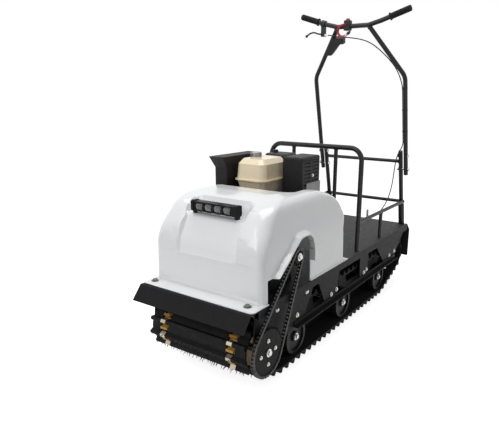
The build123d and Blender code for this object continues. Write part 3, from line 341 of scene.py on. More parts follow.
for name, first, second, low, high, shine, scale, depth, members in soft_table:
    dress(
        name, members, (9.0, 4.0), (first, second), (40.0, 3.0), (low, high),
        relief=((scale, 3.0), depth), sockets=(("Specular IOR Level", shine),),
    )
print("rubber and plastic finishes:", [row[0] for row in soft_table])

# %% [markdown]
# ### Metals
# Bare metal has a coloured reflection and no colour underneath, which the Metallic input gives. Bolts,
# track clips and lamp reflectors are pieces that are made later, so no CAD nodes are named for them.

# %% Metals
metal_table = (
    # finish, first colour, second colour, gloss from, to, CAD nodes
    ("steel_bright", (0.50, 0.50, 0.51), (0.62, 0.62, 0.63), 0.22, 0.38,
     ("drive_axle", "rear_axle", "road_wheel_axles", "jackshaft", "hitch_pin", "fold_bolts")),
    ("chain_steel", (0.030, 0.029, 0.028), (0.080, 0.077, 0.074), 0.30, 0.45, ("chain",)),
    ("bearing_iron", (0.03, 0.03, 0.03), (0.06, 0.06, 0.06), 0.45, 0.60, ("axle_bearings",)),
    ("shield_grey", (0.16, 0.16, 0.16), (0.24, 0.24, 0.24), 0.35, 0.50, ("heat_shield",)),
    ("engine_grey", (0.28, 0.28, 0.29), (0.36, 0.36, 0.37), 0.40, 0.55, ("engine_block",)),
    ("cap_silver", (0.22, 0.22, 0.22), (0.32, 0.32, 0.32), 0.30, 0.45, ("fuel_cap",)),
    ("bolt_zinc", (0.52, 0.52, 0.50), (0.66, 0.65, 0.62), 0.22, 0.36, ()),
    ("bolt_grey", (0.16, 0.16, 0.15), (0.26, 0.25, 0.24), 0.28, 0.42, ()),
)
for name, first, second, low, high, members in metal_table:
    dress(
        name, members, (30.0, 4.0), (first, second), (80.0, 4.0), (low, high),
        relief=((600.0, 2.0), 0.0001), sockets=(("Metallic", 1.0),),
    )
dress(
    "clip_steel", (),
    (20.0, 4.0), ((0.36, 0.32, 0.24), (0.52, 0.47, 0.36)), (70.0, 4.0), (0.25, 0.42),
    relief=((500.0, 2.0), 0.0001), sockets=(("Metallic", 1.0),),
)
dress(
    "reflector_silver", (),
    (60.0, 2.0), ((0.09, 0.09, 0.095), (0.14, 0.14, 0.145)), (90.0, 2.0), (0.10, 0.20),
    sockets=(("Metallic", 1.0),),
)
print("metals:", [row[0] for row in metal_table], "and clips and reflectors")

# %% [markdown]
# ### Tank and lamp
# The tank is enamelled: a cream colour under a clear glossy coat. The lamp's case is coated black, and its
# covers are lightly smoked, which the Transmission input gives without a second shader.

# %% Tank and lamp
dress(
    "tank_cream", ("fuel_tank",),
    (5.0, 2.0), ((0.88, 0.75, 0.53), (0.91, 0.78, 0.56)), (30.0, 2.0), (0.24, 0.32),
    relief=((120.0, 2.0), 0.0001), sockets=(("Coat Weight", 0.4), ("Coat Roughness", 0.08)),
)
dress(
    "lamp_black", ("lamp_housing",),
    (20.0, 3.0), ((0.006, 0.006, 0.006), (0.011, 0.011, 0.011)), (50.0, 3.0), (0.3, 0.4),
    relief=((800.0, 2.0), 0.0001), sockets=(("Specular IOR Level", 0.10),),
)
dress(
    "lamp_clear", ("lamp_lens",),
    (40.0, 2.0), ((0.30, 0.31, 0.33), (0.38, 0.39, 0.41)), (90.0, 2.0), (0.05, 0.12),
    sockets=(("Transmission Weight", 0.75), ("IOR", 1.49)),
)
dress(
    "led_yellow", (),
    (60.0, 2.0), ((0.42, 0.34, 0.10), (0.50, 0.41, 0.14)), (90.0, 2.0), (0.25, 0.35),
)
print("finishes in all:", len(finishes))

# %% [markdown]
# ## Helpers for new pieces
# Each new piece is a bmesh that operators shape, and that becomes an object at the origin. Objects could be
# copied and parented one by one, but a small template repeated into one mesh keeps the machine's list short.

# %% Helpers for new pieces
touching = 0.00001


def stand(place, axis):
    """A matrix that sets a template's Z axis along a direction at a place."""
    turn = Vector(axis).to_track_quat("Z", "Y").to_matrix().to_4x4()
    return Matrix.Translation(Vector(place)) @ turn


def repeat(template, places, bm=None):
    """A bmesh, new or given, with a copy of a template mesh at each place."""
    if bm is None:
        bm = bmesh.new()
    for place in places:
        before = len(bm.verts)
        bm.from_mesh(template)
        bm.verts.ensure_lookup_table()
        bmesh.ops.transform(bm, matrix=place, verts=bm.verts[before:])
    return bm


def close_up(bm):
    """Merge doubled points and turn the faces outwards."""
    bmesh.ops.remove_doubles(bm, verts=bm.verts, dist=touching)
    bmesh.ops.recalc_face_normals(bm, faces=bm.faces)


def template_mesh(bm, name):
    """Keep a small bmesh as a mesh that is copied to many places."""
    close_up(bm)
    mesh = bpy.data.meshes.new(name)
    bm.to_mesh(mesh)
    bm.free()
    return mesh


def set_down(bm, name, finish_name, body):
    """Turn a bmesh into a finished piece that rides a body."""
    mesh = bpy.data.meshes.new(name)
    bm.to_mesh(mesh)
    bm.free()
    mesh.shade_smooth()
    mesh.set_sharp_from_angle(angle=radians(35))
    mesh.materials.append(finishes[finish_name])
    made = put_in(name, mesh)
    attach(made, body)
    print(name, "has", len(mesh.polygons), "faces")
    return made


def turned(profile, steps, place=Matrix.Identity(4)):
    """A turned form: (radius, height) points spun about the Z axis, then set at a place."""
    bm = bmesh.new()
    rim = [bm.verts.new((radius, 0, height)) for radius, height in profile]
    edges = [bm.edges.new(pair) for pair in zip(rim, rim[1:])]
    bmesh.ops.spin(
        bm, geom=rim + edges, cent=(0, 0, 0), axis=(0, 0, 1), angle=2 * pi, steps=steps,
        use_merge=True,
    )
    close_up(bm)
    bmesh.ops.transform(bm, matrix=place, verts=bm.verts)
    return bm


def soften(bm, edges, width):
    """Round edges by a small bevel."""
    bmesh.ops.bevel(
        bm, geom=edges, offset=width, offset_type="OFFSET", segments=2, profile=0.5,
        affect="EDGES", material=-1,
    )


def slab(size, edge):
    """A small block with rounded edges, standing on the XY plane."""
    bm = bmesh.new()
    stretch = Matrix.Translation((0, 0, size[2] / 2)) @ Matrix.Diagonal((*size, 1))
    bmesh.ops.create_cube(bm, size=1.0, matrix=stretch)
    soften(bm, bm.edges[:], edge)
    return bm


print("helpers for pieces ready")

# %% [markdown]
# ## Cables
# A brake cable leaves the lever's perch, crosses to the left handle tube and runs down it. A bezier curve
# could be drawn by hand, but a NURBS spline with the route's points as its control points stays smooth.

# %% Brake cable on the handle
left_tube_y = 0.2652


def cord_curve(name, points, radius):
    """A smooth cord through the neighbourhood of its route's points."""
    curve = bpy.data.curves.new(name, "CURVE")
    curve.dimensions = "3D"
    spline = curve.splines.new("NURBS")
    spline.points.add(len(points) - 1)
    for control, point in zip(spline.points, points):
        control.co = (*point, 1)
    spline.order_u = 3
    spline.use_endpoint_u = True
    curve.resolution_u = 8
    curve.bevel_depth = radius
    curve.bevel_resolution = 3
    curve.use_fill_caps = True
    return curve


def cord_mesh(name, points, radius):
    """The mesh of a cord's curve: a tube, or a bare line where the radius is nought."""
    curve = cord_curve(name, points, radius)
    guide = bpy.data.objects.new(name, curve)
    mesh = bpy.data.meshes.new_from_object(guide)
    bpy.data.objects.remove(guide)
    bpy.data.curves.remove(curve)
    return mesh


def smooth_line(name, points):
    """Points along the smooth line of a route."""
    line_mesh = cord_mesh(name, points, 0.0)
    line = [vert.co.copy() for vert in line_mesh.vertices]
    bpy.data.meshes.remove(line_mesh)
    return line


def line_length(line):
    """The length of a line of points."""
    return sum((second - first).length for first, second in zip(line, line[1:]))


cable_radius = 0.003
cable_route = (
    (-0.507, -0.1697, 1.496),
    (-0.507, -0.130, 1.492),
    (-0.505, -0.075, 1.480),
    (-0.503, -0.015, 1.474),
    (-0.504, 0.045, 1.465),
    (-0.516, 0.100, 1.448),
    (-0.545, 0.148, 1.412),
    (-0.588, 0.202, 1.352),
    (-0.608, 0.2374, 1.302),
    (-0.6321, left_tube_y, 1.225),
    (-0.6513, left_tube_y, 1.145),
    (-0.709, left_tube_y, 0.905),
)
cable_curve = cord_curve("brake_cable_sheath", cable_route, cable_radius)
cable_curve.materials.append(finishes["cable_black"])
cable = put_in("brake_cable_sheath", cable_curve)
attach(cable, "handlebar")
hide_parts("brake_cable")
cable_line = smooth_line("cable_line", cable_route)
print("brake cable", round(line_length(cable_line), 3), "m")

# %% [markdown]
# ### The cable's bow over the fold
# Below the handle tube the cable hangs in a bow down to the deck's side rail. It has to bend when the handle
# folds; here it is made a mesh tube in place, tied to neither the handle nor the chassis.

# %% Cable bow
bow_route = (
    (-0.709, left_tube_y, 0.905),
    (-0.715, left_tube_y, 0.880),
    (-0.706, 0.240, 0.832),
    (-0.712, 0.226, 0.770),
    (-0.706, 0.224, 0.710),
    (-0.684, 0.226, 0.645),
    (-0.640, 0.230, 0.592),
    (-0.580, 0.236, 0.558),
    (-0.515, 0.242, 0.536),
    (-0.440, 0.2487, 0.520),
)
bow_line = smooth_line("bow_line", bow_route)
bow_mesh = cord_mesh("bow_guide", bow_route, cable_radius)
bow_mesh.name = "cable_bow_sheath"
bow_mesh.shade_smooth()
bow_mesh.materials.clear()
bow_mesh.materials.append(finishes["cable_black"])
bow = put_in("cable_bow_sheath", bow_mesh)
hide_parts("cable_bow")
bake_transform(bow)
print("cable bow", round(line_length(bow_line), 3), "m")

# %% [markdown]
# ### Coiled tether
# The engine stops when the rider pulls the tether's key out. The tether is a curly red cord. A Screw modifier
# winds only straight coils, so the turns are points of the cord's own spline: a helix whose middle follows a
# smooth ring in front of the stop switch.

# %% Coiled tether
tether_x = -0.4877
tether_centre = Vector((tether_x, -0.046, 1.510))
tether_ring_radius = 0.034
tether_route = []
for step in range(7):
    angle = radians(60 + 45 * step)
    tether_route.append(tether_centre + tether_ring_radius * Vector((0, cos(angle), sin(angle))))
ring_line = smooth_line("ring_line", tether_route)
coil_radius = 0.0062
coil_turns = 30
points_per_turn = 12
coil_steps = coil_turns * points_per_turn
coil_points = []
ahead = Vector((1, 0, 0))
for i in range(coil_steps + 1):
    along = i / coil_steps * (len(ring_line) - 1)
    first = min(int(along), len(ring_line) - 2)
    run = ring_line[first + 1] - ring_line[first]
    middle = ring_line[first] + run * (along - first)
    side = run.normalized().cross(ahead)
    phase = 2 * pi * i / points_per_turn
    coil_points.append(middle + coil_radius * (cos(phase) * ahead + sin(phase) * side))
tether_cord_radius = 0.0014
tether_curve = cord_curve("tether_coil", coil_points, tether_cord_radius)
tether_curve.resolution_u = 3
tether_curve.bevel_resolution = 2
tether_curve.materials.append(finishes["tether_red"])
tether = put_in("tether_coil", tether_curve)
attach(tether, "handlebar")
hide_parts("tether")
coil_line = smooth_line("coil_line", coil_points)
print("tether", round(line_length(coil_line), 3), "m of cord in", coil_turns, "turns")

# %% [markdown]
# ### Fittings on the cords
# A cord never just stops: the tether ends in a clip, and the cables have an adjuster at the lever and a
# ferrule at the rail. All are turned parts, so a profile is spun about its axis and stood along the cord's
# end. Plastic ties, which are thin oval bands, hold the cable to the handle tube.

# %% Fittings on the cords
tether_clip_profile = (
    (0.0, -0.003), (0.0075, -0.003), (0.0085, 0.0), (0.0085, 0.009),
    (0.006, 0.013), (0.0045, 0.019), (0.0, 0.020),
)
tether_clip_run = (ring_line[-1] - ring_line[-2]).normalized()
tether_clip_bm = turned(tether_clip_profile, 20, stand(ring_line[-1], tether_clip_run))
tether_clip = set_down(
    tether_clip_bm, "tether_clip", "control_black", "handlebar"
)

barrel_profile = (
    (0.0, 0.0), (0.0055, 0.0), (0.0065, 0.002), (0.0065, 0.010),
    (0.005, 0.012), (0.005, 0.022), (0.0038, 0.024), (0.0, 0.024),
)
barrel_steps = 16
adjuster_run = Vector(cable_route[1]) - Vector(cable_route[0])
adjuster_bm = turned(barrel_profile, barrel_steps, stand(cable_route[0], adjuster_run))
set_down(adjuster_bm, "cable_adjuster", "steel_bright", "handlebar")

ferrule_run = Vector(bow_route[-2]) - Vector(bow_route[-1])
ferrule_bm = turned(barrel_profile, barrel_steps, stand(bow_route[-1], ferrule_run))
ferrule = set_down(ferrule_bm, "cable_ferrule", "steel_bright", "chassis")

# %% Cable ties
post_lean = 0.24008
post_foot_x, post_foot_z = -0.835, 0.380
lean = Vector((post_lean, 0, 1)).normalized()


def post_x(height):
    """Where the leaning rear post, and the handle tube above it, stand at a height."""
    return post_foot_x + (height - post_foot_z) * post_lean


tie_y = 0.2778
tie_oval = Matrix.Diagonal((0.0166, 0.0136, 1, 1))
tie_bm = bmesh.new()
for height in (1.205, 1.085, 0.965):
    tie_place = stand((post_x(height), tie_y, height), lean)
    bmesh.ops.create_cone(
        tie_bm, cap_ends=False, segments=28, radius1=1.0, radius2=1.0, depth=0.005,
        matrix=tie_place @ tie_oval,
    )
bmesh.ops.solidify(tie_bm, geom=tie_bm.faces[:], thickness=0.0012)
bmesh.ops.recalc_face_normals(tie_bm, faces=tie_bm.faces)
set_down(tie_bm, "cable_ties", "control_black", "handlebar")

# %% [markdown]
# ## Hood skin
# The hood is one moulding, so its front runs from the lamp's ledge to the flange in one soft sweep. The
# solid is lofted in two runs, which leaves a crease where they meet, a slight swell above it and a thin slot
# at each front corner. Smoothing every point would also melt the arch and the ledge, so here a copy of the
# solid is cut into close rows and each row slides a little: the swell is taken off, and the front is averaged
# over the rows above and below. The slots' rims are noted first and closed over last.

# %% Rims of the two slots
skin_bm = bmesh.new()
skin_bm.from_mesh(nodes["hood"].data)
bmesh.ops.remove_doubles(skin_bm, verts=skin_bm.verts, dist=touching)
corner_x, corner_y = 0.735, 0.245
slot_low, slot_high = 0.5295, 0.5315
plainly = 0.2
slot_rim = []
for vert in skin_bm.verts:
    x, y, height = vert.co
    if x > corner_x and abs(y) > corner_y and slot_low < height < slot_high:
        outward = Vector((1, 1 if y > 0 else -1, 0)).normalized()
        facing = [face.normal.dot(outward) for face in vert.link_faces]
        if min(facing) < -plainly and max(facing) > plainly:
            slot_rim.append(vert)
print("points on the rims of the two slots:", len(slot_rim))

# %% Rows across the hood
row_count = 34
row_pitch = 0.008
lowest_row = 0.404
for row in range(row_count):
    bmesh.ops.bisect_plane(
        skin_bm, geom=skin_bm.verts[:] + skin_bm.edges[:] + skin_bm.faces[:], dist=touching,
        plane_co=(0, 0, lowest_row + row * row_pitch), plane_no=(0, 0, 1),
    )
skin_tree = BVHTree.FromBMesh(skin_bm)
print("hood rows made,", len(skin_bm.verts), "points")

# %% The swell at a height
swell_foot, swell_top = 0.530, 0.640
below_foot = 0.002
far_out = 1.5


def soft_line(height, low, high, low_slope, high_slope):
    """A smooth line between the swell's foot and top, from its ends and their slopes."""
    run = swell_top - swell_foot
    t = (height - swell_foot) / run
    ends = low * (1 + 2 * t) * (1 - t) ** 2 + high * t * t * (3 - 2 * t)
    return ends + run * (low_slope * t * (1 - t) ** 2 - high_slope * t * t * (1 - t))


def swell(height, start, heading, low_slope, high_slope):
    """How far the wall that a ray meets stands outside a smooth line at a height."""
    if not swell_foot < height < swell_top:
        return 0.0
    start, heading = Vector(start), Vector(heading)
    reach = []
    for level in (height, swell_foot - below_foot, swell_top):
        hit = skin_tree.ray_cast(Vector((start.x, start.y, level)), heading)[0]
        reach.append(-hit.dot(heading))
    return reach[0] - soft_line(height, reach[1], reach[2], low_slope, high_slope)


def ramp(value, start, end):
    """A soft step from nought to one."""
    share = min(max((value - start) / (end - start), 0.0), 1.0)
    return share * share * (3 - 2 * share)


# a ray's start and heading, and the wall's slopes at the swell's foot and top
front_ray = ((far_out, -0.205, 0), (-1, 0, 0), -0.02, -0.62)
side_ray = ((0.35, -1.0, 0), (0, 1, 0), -0.01, -0.20)
back_ray = ((-1.0, -0.205, 0), (1, 0, 0), -0.01, -0.10)
heights = sorted({
    round(vert.co.z, 5) for vert in skin_bm.verts if swell_foot < vert.co.z < swell_top
})
front_swell = {h: swell(h, *front_ray) for h in heights}
side_swell = {h: swell(h, *side_ray) for h in heights}
back_swell = {h: swell(h, *back_ray) for h in heights}
print("swell of the front up to", round(1000 * max(front_swell.values()), 1), "mm")

# %% The sweep of the front
panel_edge = (0.138, 0.166)
front_least_x = 0.60
sweep_low, sweep_high = 0.402, 0.668
sweep_pitch, sweep_rows = 0.011, 5
sweep_rise, sweep_fall = (0.405, 0.47), (0.60, 0.66)


def front_at(y, height):
    """Where the hood's front is at a place across and a height, without its swell."""
    hit = skin_tree.ray_cast(Vector((far_out, y, height)), Vector((-1, 0, 0)))[0]
    if hit is None or hit.x < front_least_x:
        return None
    return hit.x - swell(height, *front_ray) * ramp(abs(y), *panel_edge)


def front_sweep(y, height):
    """How far the front moves to lie on the mean of the rows above and below."""
    here = front_at(y, height)
    rows = []
    for step in range(-sweep_rows, sweep_rows + 1):
        level = min(max(height + sweep_pitch * step, sweep_low), sweep_high)
        rows.append(front_at(y, level))
    if here is None or None in rows:
        return 0.0
    share = ramp(height, *sweep_rise) * (1 - ramp(height, *sweep_fall))
    return (sum(rows) / len(rows) - here) * share


print("sweep at the middle", round(1000 * front_sweep(0.0, swell_foot), 1), "mm")

# %% Slide the rows
front_part, back_part, side_part = (0.46, 0.66), (0.10, 0.24), (0.16, 0.25)
sweep_front, sweep_edge = (0.64, 0.70), (0.17, 0.21)
slides = []
for vert in skin_bm.verts:
    x, y, height = vert.co
    row = round(height, 5)
    slide = Vector((0, 0, 0))
    slide.x -= front_swell.get(row, 0.0) * ramp(x, *front_part) * ramp(abs(y), *panel_edge)
    slide.x += back_swell.get(row, 0.0) * (1 - ramp(x, *back_part))
    slide.y -= side_swell.get(row, 0.0) * ramp(abs(y), *side_part) * (1 if y > 0 else -1)
    if x > sweep_front[0] and abs(y) < sweep_edge[1] and sweep_rise[0] < height < sweep_fall[1]:
        share = ramp(x, *sweep_front) * (1 - ramp(abs(y), *sweep_edge))
        slide.x += front_sweep(y, height) * share
    slides.append(slide)
for vert, slide in zip(skin_bm.verts, slides):
    vert.co += slide
print("largest slide", round(1000 * max(slide.length for slide in slides), 1), "mm")

# %% Straighten the band at the old seam
skin_bm.normal_update()
slid_tree = BVHTree.FromBMesh(skin_bm)
band_low, band_high = 0.521, 0.549
most_moved = 0.0025
laid = 0
for vert in skin_bm.verts:
    if not band_low < vert.co.z < band_high:
        continue
    axis = 0 if abs(vert.normal.x) > abs(vert.normal.y) else 1
    outward = 1 if vert.normal[axis] > 0 else -1
    heading = Vector((0, 0, 0))
    heading[axis] = -outward
    ends = []
    for level in (band_low, band_high):
        start = Vector((vert.co.x, vert.co.y, level))
        start[axis] = far_out * outward
        hit = slid_tree.ray_cast(start, heading)[0]
        if hit is not None:
            ends.append(hit[axis])
    if len(ends) == 2:
        share = (vert.co.z - band_low) / (band_high - band_low)
        straight = ends[0] + share * (ends[1] - ends[0])
        if abs(straight - vert.co[axis]) < most_moved:
            vert.co[axis] = straight
            laid += 1
print("points laid straight:", laid)

# %% Close the slots and set the skin down
bmesh.ops.delete(skin_bm, geom=slot_rim, context="VERTS")
open_edges = [edge for edge in skin_bm.edges if edge.is_boundary]
closed = bmesh.ops.holes_fill(skin_bm, edges=open_edges, sides=0)
print("patches over the slots, inside and out:", len(closed["faces"]))
bmesh.ops.triangulate(skin_bm, faces=closed["faces"])
bmesh.ops.recalc_face_normals(skin_bm, faces=skin_bm.faces)
hood_skin = set_down(skin_bm, "hood_skin", "hood_white", "chassis")
even = hood_skin.modifiers.new("even_shading", "WEIGHTED_NORMAL")
even.keep_sharp = True
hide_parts("hood")

# %% [markdown]
# ## Roller chain
# The chain is the busiest part of the drive. Real links are waisted plates on pins, with a roller between
# each pair. A texture on a band would do from afar, but real links catch the light along the whole strand.
# The pins sit between the sprockets' teeth, a tooth apart, and run straight from one wheel to the other.

# %% Places of the chain's pins
chain_y = 0.293
chain_pitch = 0.015875
drive_x, drive_z = 0.745, 0.188
jack_x, jack_z = 0.524, 0.523
drive_centre = Vector((drive_x, drive_z))
jack_centre = Vector((jack_x, jack_z))
large_teeth = 39
small_teeth = 13
large_radius = chain_pitch / (2 * sin(pi / large_teeth))
small_radius = chain_pitch / (2 * sin(pi / small_teeth))
centre_line = jack_centre - drive_centre
centre_angle = atan2(centre_line.y, centre_line.x)
spread = asin((large_radius - small_radius) / centre_line.length)


def wrap_pins(centre, radius, teeth, middle, wrap):
    """Pins on a sprocket, a tooth apart, about the middle of the wrap."""
    step = 2 * pi / teeth
    count = int(wrap / step) + 1
    first = middle - step * (count - 1) / 2
    angles = [first + i * step for i in range(count)]
    return [centre + radius * Vector((cos(angle), sin(angle))) for angle in angles]


def strand_pins(start, end):
    """Pins between the last on one sprocket and the first on the other."""
    links = round((end - start).length / chain_pitch)
    return [start.lerp(end, i / links) for i in range(1, links)]


large_wrap = wrap_pins(
    drive_centre, large_radius, large_teeth, centre_angle + pi, pi + 2 * spread
)
small_wrap = wrap_pins(jack_centre, small_radius, small_teeth, centre_angle, pi - 2 * spread)
chain_pins = large_wrap + strand_pins(large_wrap[-1], small_wrap[0])
chain_pins += small_wrap + strand_pins(small_wrap[-1], large_wrap[0])
print("chain of", len(chain_pins), "links")

# %% Link plates, rollers and pins
plate_end_radius = 0.0068
plate_waist = 0.0046
plate_wall = 0.0016
inner_gap, outer_gap = 0.0038, 0.0054


def link_plate(near_y):
    """A waisted plate along X, from near_y outwards."""
    bm = bmesh.new()
    upright = Matrix.Rotation(pi / 2, 4, "X")
    bmesh.ops.create_circle(
        bm, segments=20, radius=plate_end_radius, cap_ends=True, matrix=upright
    )
    for vert in bm.verts:
        if abs(vert.co.x) > 0.0005:
            vert.co.x += (chain_pitch / 2) * (1 if vert.co.x > 0 else -1)
        else:
            vert.co.z = plate_waist * (1 if vert.co.z > 0 else -1)
        vert.co.y = near_y
    pushed = bmesh.ops.extrude_face_region(bm, geom=bm.faces[:])
    pushed_verts = [item for item in pushed["geom"] if isinstance(item, bmesh.types.BMVert)]
    bmesh.ops.translate(bm, vec=(0, plate_wall if near_y > 0 else -plate_wall, 0), verts=pushed_verts)
    bmesh.ops.recalc_face_normals(bm, faces=bm.faces)
    return bm


def chain_link(gap):
    """Both plates of a link, as a template."""
    bm = link_plate(gap)
    other = link_plate(-gap)
    other_mesh = template_mesh(other, "other_plate")
    bm.from_mesh(other_mesh)
    bpy.data.meshes.remove(other_mesh)
    return template_mesh(bm, "link")


inner_link = chain_link(inner_gap)
outer_link = chain_link(outer_gap)
roller_profile = (
    (0.0, -0.0083), (0.0022, -0.0083), (0.0026, -0.0078), (0.0026, -0.0037), (0.00508, -0.0036),
    (0.00508, 0.0036), (0.0026, 0.0037), (0.0026, 0.0078), (0.0022, 0.0083), (0.0, 0.0083),
)
roller = template_mesh(turned(roller_profile, 12), "roller")


def on_chain(point, turn):
    """The place of a link or roller, its X axis along the chain."""
    return Matrix.Translation((point.x, chain_y, point.y)) @ Matrix.Rotation(-turn, 4, "Y")


inner_places, outer_places, roller_places = [], [], []
for i, here in enumerate(chain_pins):
    there = chain_pins[(i + 1) % len(chain_pins)]
    run = there - here
    turn = atan2(run.y, run.x)
    link_place = on_chain((here + there) / 2, turn)
    (outer_places if i % 2 else inner_places).append(link_place)
    roller_places.append(on_chain(here, turn) @ Matrix.Rotation(-pi / 2, 4, "X"))
chain_bm = repeat(inner_link, inner_places)
repeat(outer_link, outer_places, chain_bm)
repeat(roller, roller_places, chain_bm)
chain = set_down(chain_bm, "roller_chain", "chain_steel", "chassis")
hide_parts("chain")

# %% [markdown]
# ## Track hardware
# The track is one moulded loop with a lug at each pitch. At the drive windows, a steel clip wraps each
# lug, and fine rubber whiskers from the mould still stand on the lugs. Both are placed by walking round the
# loop, run by run, which is simpler here than a Curve modifier.

# %% A walk round the track
track_runs = (
    # length of the run, radius of its bend or none
    (1.527, None),
    (0.214039, 0.080),
    (0.164583, None),
    (0.074578, 0.160),
    (1.102021, None),
    (0.026284, 0.080),
    (0.255676, None),
    (0.225043, 0.080),
)
track_start_x, track_start_z = -0.782, 0.268
track_length = sum(length for length, _ in track_runs)
lug_count = 71
rear_end_x, front_end_x = -0.60, 0.65
belt_thickness = 0.008
lug_height = 0.0175


def track_place(distance):
    """A frame on the track's inner face: X along it, Y across it, Z outwards."""
    x, z, heading = track_start_x, track_start_z, 0.0
    for length, radius in track_runs:
        step = min(distance, length)
        if radius:
            centre_x, centre_z = x + radius * sin(heading), z - radius * cos(heading)
            heading -= step / radius
            x, z = centre_x - radius * sin(heading), centre_z + radius * cos(heading)
        else:
            x, z = x + step * cos(heading), z + step * sin(heading)
        distance -= step
        if distance <= 0:
            break
    return Matrix.Translation((x, 0, z)) @ Matrix.Rotation(-heading, 4, "Y")


lug_places = [track_place(i * track_length / lug_count) for i in range(lug_count)]
end_lugs = [
    place for place in lug_places if not rear_end_x < place.translation.x < front_end_x
]
print("lugs", lug_count, "of which", len(end_lugs), "round the ends")

# %% Steel clips
clip_wall = 0.0012
clip_profile = ((-0.0128, 0.0082), (-0.0070, 0.0257), (0.0070, 0.0257), (0.0128, 0.0082))
clip_half_width = 0.013
window_y = 0.178
clip_bm = bmesh.new()
clip_line = [clip_bm.verts.new((x, -clip_half_width, z)) for x, z in clip_profile]
clip_edges = [clip_bm.edges.new(pair) for pair in zip(clip_line, clip_line[1:])]
clip_push = bmesh.ops.extrude_edge_only(clip_bm, edges=clip_edges)
clip_far = [item for item in clip_push["geom"] if isinstance(item, bmesh.types.BMVert)]
bmesh.ops.translate(clip_bm, vec=(0, 2 * clip_half_width, 0), verts=clip_far)
bmesh.ops.recalc_face_normals(clip_bm, faces=clip_bm.faces)
bmesh.ops.solidify(clip_bm, geom=clip_bm.faces[:], thickness=clip_wall)
clip_template = template_mesh(clip_bm, "clip")
clip_places = []
for place in end_lugs:
    for side in (1, -1):
        clip_places.append(place @ Matrix.Translation((0, side * window_y, 0)))
set_down(repeat(clip_template, clip_places), "track_clips", "clip_steel", "chassis")

# %% Whiskers on the lugs
whisker_length = 0.020
whiskers_per_lug = 26
whisker_edge = 0.242
highest_lug = 0.20
whisker_bm = bmesh.new()
bmesh.ops.create_cone(
    whisker_bm, cap_ends=True, segments=4, radius1=0.0022, radius2=0.0008, depth=whisker_length,
    matrix=Matrix.Translation((0, 0, whisker_length / 2)),
)
whisker = template_mesh(whisker_bm, "whisker")
chance = random.Random(7)
crest = belt_thickness + lug_height - 0.001
whisker_places = []
for place in end_lugs:
    if place.translation.z > highest_lug:
        continue
    for i in range(whiskers_per_lug):
        share = (i + 0.5 + chance.uniform(-0.35, 0.35)) / whiskers_per_lug
        across = whisker_edge * (2 * share - 1)
        lean_across = Matrix.Rotation(chance.uniform(-0.5, 0.5), 4, "X")
        lean_along = Matrix.Rotation(chance.uniform(-0.4, 0.4), 4, "Y")
        size = Matrix.Diagonal((1, 1, chance.uniform(0.5, 1.0), 1))
        foot = Matrix.Translation((chance.uniform(-0.004, 0.004), across, crest))
        spot = place @ foot @ lean_across @ lean_along @ size
        if (spot @ Vector((0, 0, whisker_length))).z > 0.001:
            whisker_places.append(spot)
set_down(repeat(whisker, whisker_places), "track_whiskers", "track_rubber", "chassis")

# %% [markdown]
# ## Bolts and welds
# Bolts tell the eye how big a machine is. Each is a hex head with a chamfer, on a washer. They could be
# modelled in place, but one template set down from a short table keeps them alike.

# %% Bolt templates


def bolt_template(name, across, head, washer_radius):
    """A hex head on a washer, standing on the XY plane."""
    washer = 0.0018
    corner = across / 1.732
    bm = bmesh.new()
    bmesh.ops.create_cone(
        bm, cap_ends=True, segments=24, radius1=washer_radius, radius2=washer_radius,
        depth=washer, matrix=Matrix.Translation((0, 0, washer / 2)),
    )
    made = bmesh.ops.create_cone(
        bm, cap_ends=True, segments=6, radius1=corner, radius2=corner, depth=head,
        matrix=Matrix.Translation((0, 0, washer + head / 2)),
    )
    top = [vert for vert in made["verts"] if vert.co.z > washer + head / 2]
    rim = [edge for edge in bm.edges if all(end in top for end in edge.verts)]
    soften(bm, rim, across * 0.07)
    return template_mesh(bm, name)


bolts = {
    "small": bolt_template("bolt_small", 0.010, 0.0042, 0.0085),
    "medium": bolt_template("bolt_medium", 0.013, 0.0055, 0.011),
    "large": bolt_template("bolt_large", 0.019, 0.008, 0.0165),
}
print("bolt templates:", list(bolts))

# %% Bolts set down
along_x, along_y, along_z = (1, 0, 0), (0, 1, 0), (0, 0, 1)
plate_face_y = 0.268
wheel_face_y = 0.232
wheel_axle_z = 0.1055
sprocket_face_y = 0.2965
axle_end_y = 0.300
bolt_ring = 0.050
one_side_table = (
    # size, place, axis
    ("small", (drive_x, sprocket_face_y, drive_z + bolt_ring), along_y),
    ("small", (drive_x + bolt_ring, sprocket_face_y, drive_z), along_y),
    ("small", (drive_x, sprocket_face_y, drive_z - bolt_ring), along_y),
    ("small", (drive_x - bolt_ring, sprocket_face_y, drive_z), along_y),
    ("large", (drive_x, axle_end_y, drive_z), along_y),
    ("large", (jack_x, axle_end_y, jack_z), along_y),
    ("small", (0.131, 0.130, 0.795), along_y),
)
both_sides_table = (
    # size, x, distance from the middle, height
    ("large", 0.422, wheel_face_y, wheel_axle_z),
    ("large", -0.059, wheel_face_y, wheel_axle_z),
    ("large", -0.540, wheel_face_y, wheel_axle_z),
    ("medium", 0.160, plate_face_y, 0.232),
    ("medium", 0.104, plate_face_y, 0.240),
    ("medium", -0.225, plate_face_y, 0.232),
    ("medium", -0.258, plate_face_y, 0.240),
    ("medium", -0.600, plate_face_y, 0.232),
    ("medium", -0.681, plate_face_y, 0.240),
    ("medium", 0.480, plate_face_y, 0.242),
    ("medium", 0.400, plate_face_y, 0.325),
    ("medium", 0.640, plate_face_y, 0.325),
)
bolt_places = {size: [] for size in bolts}
for size, place, axis in one_side_table:
    bolt_places[size].append(stand(place, axis))
for size, x, away, height in both_sides_table:
    for side in (1, -1):
        bolt_places[size].append(stand((x, side * away, height), (0, side, 0)))
bearing_ring = 0.0375
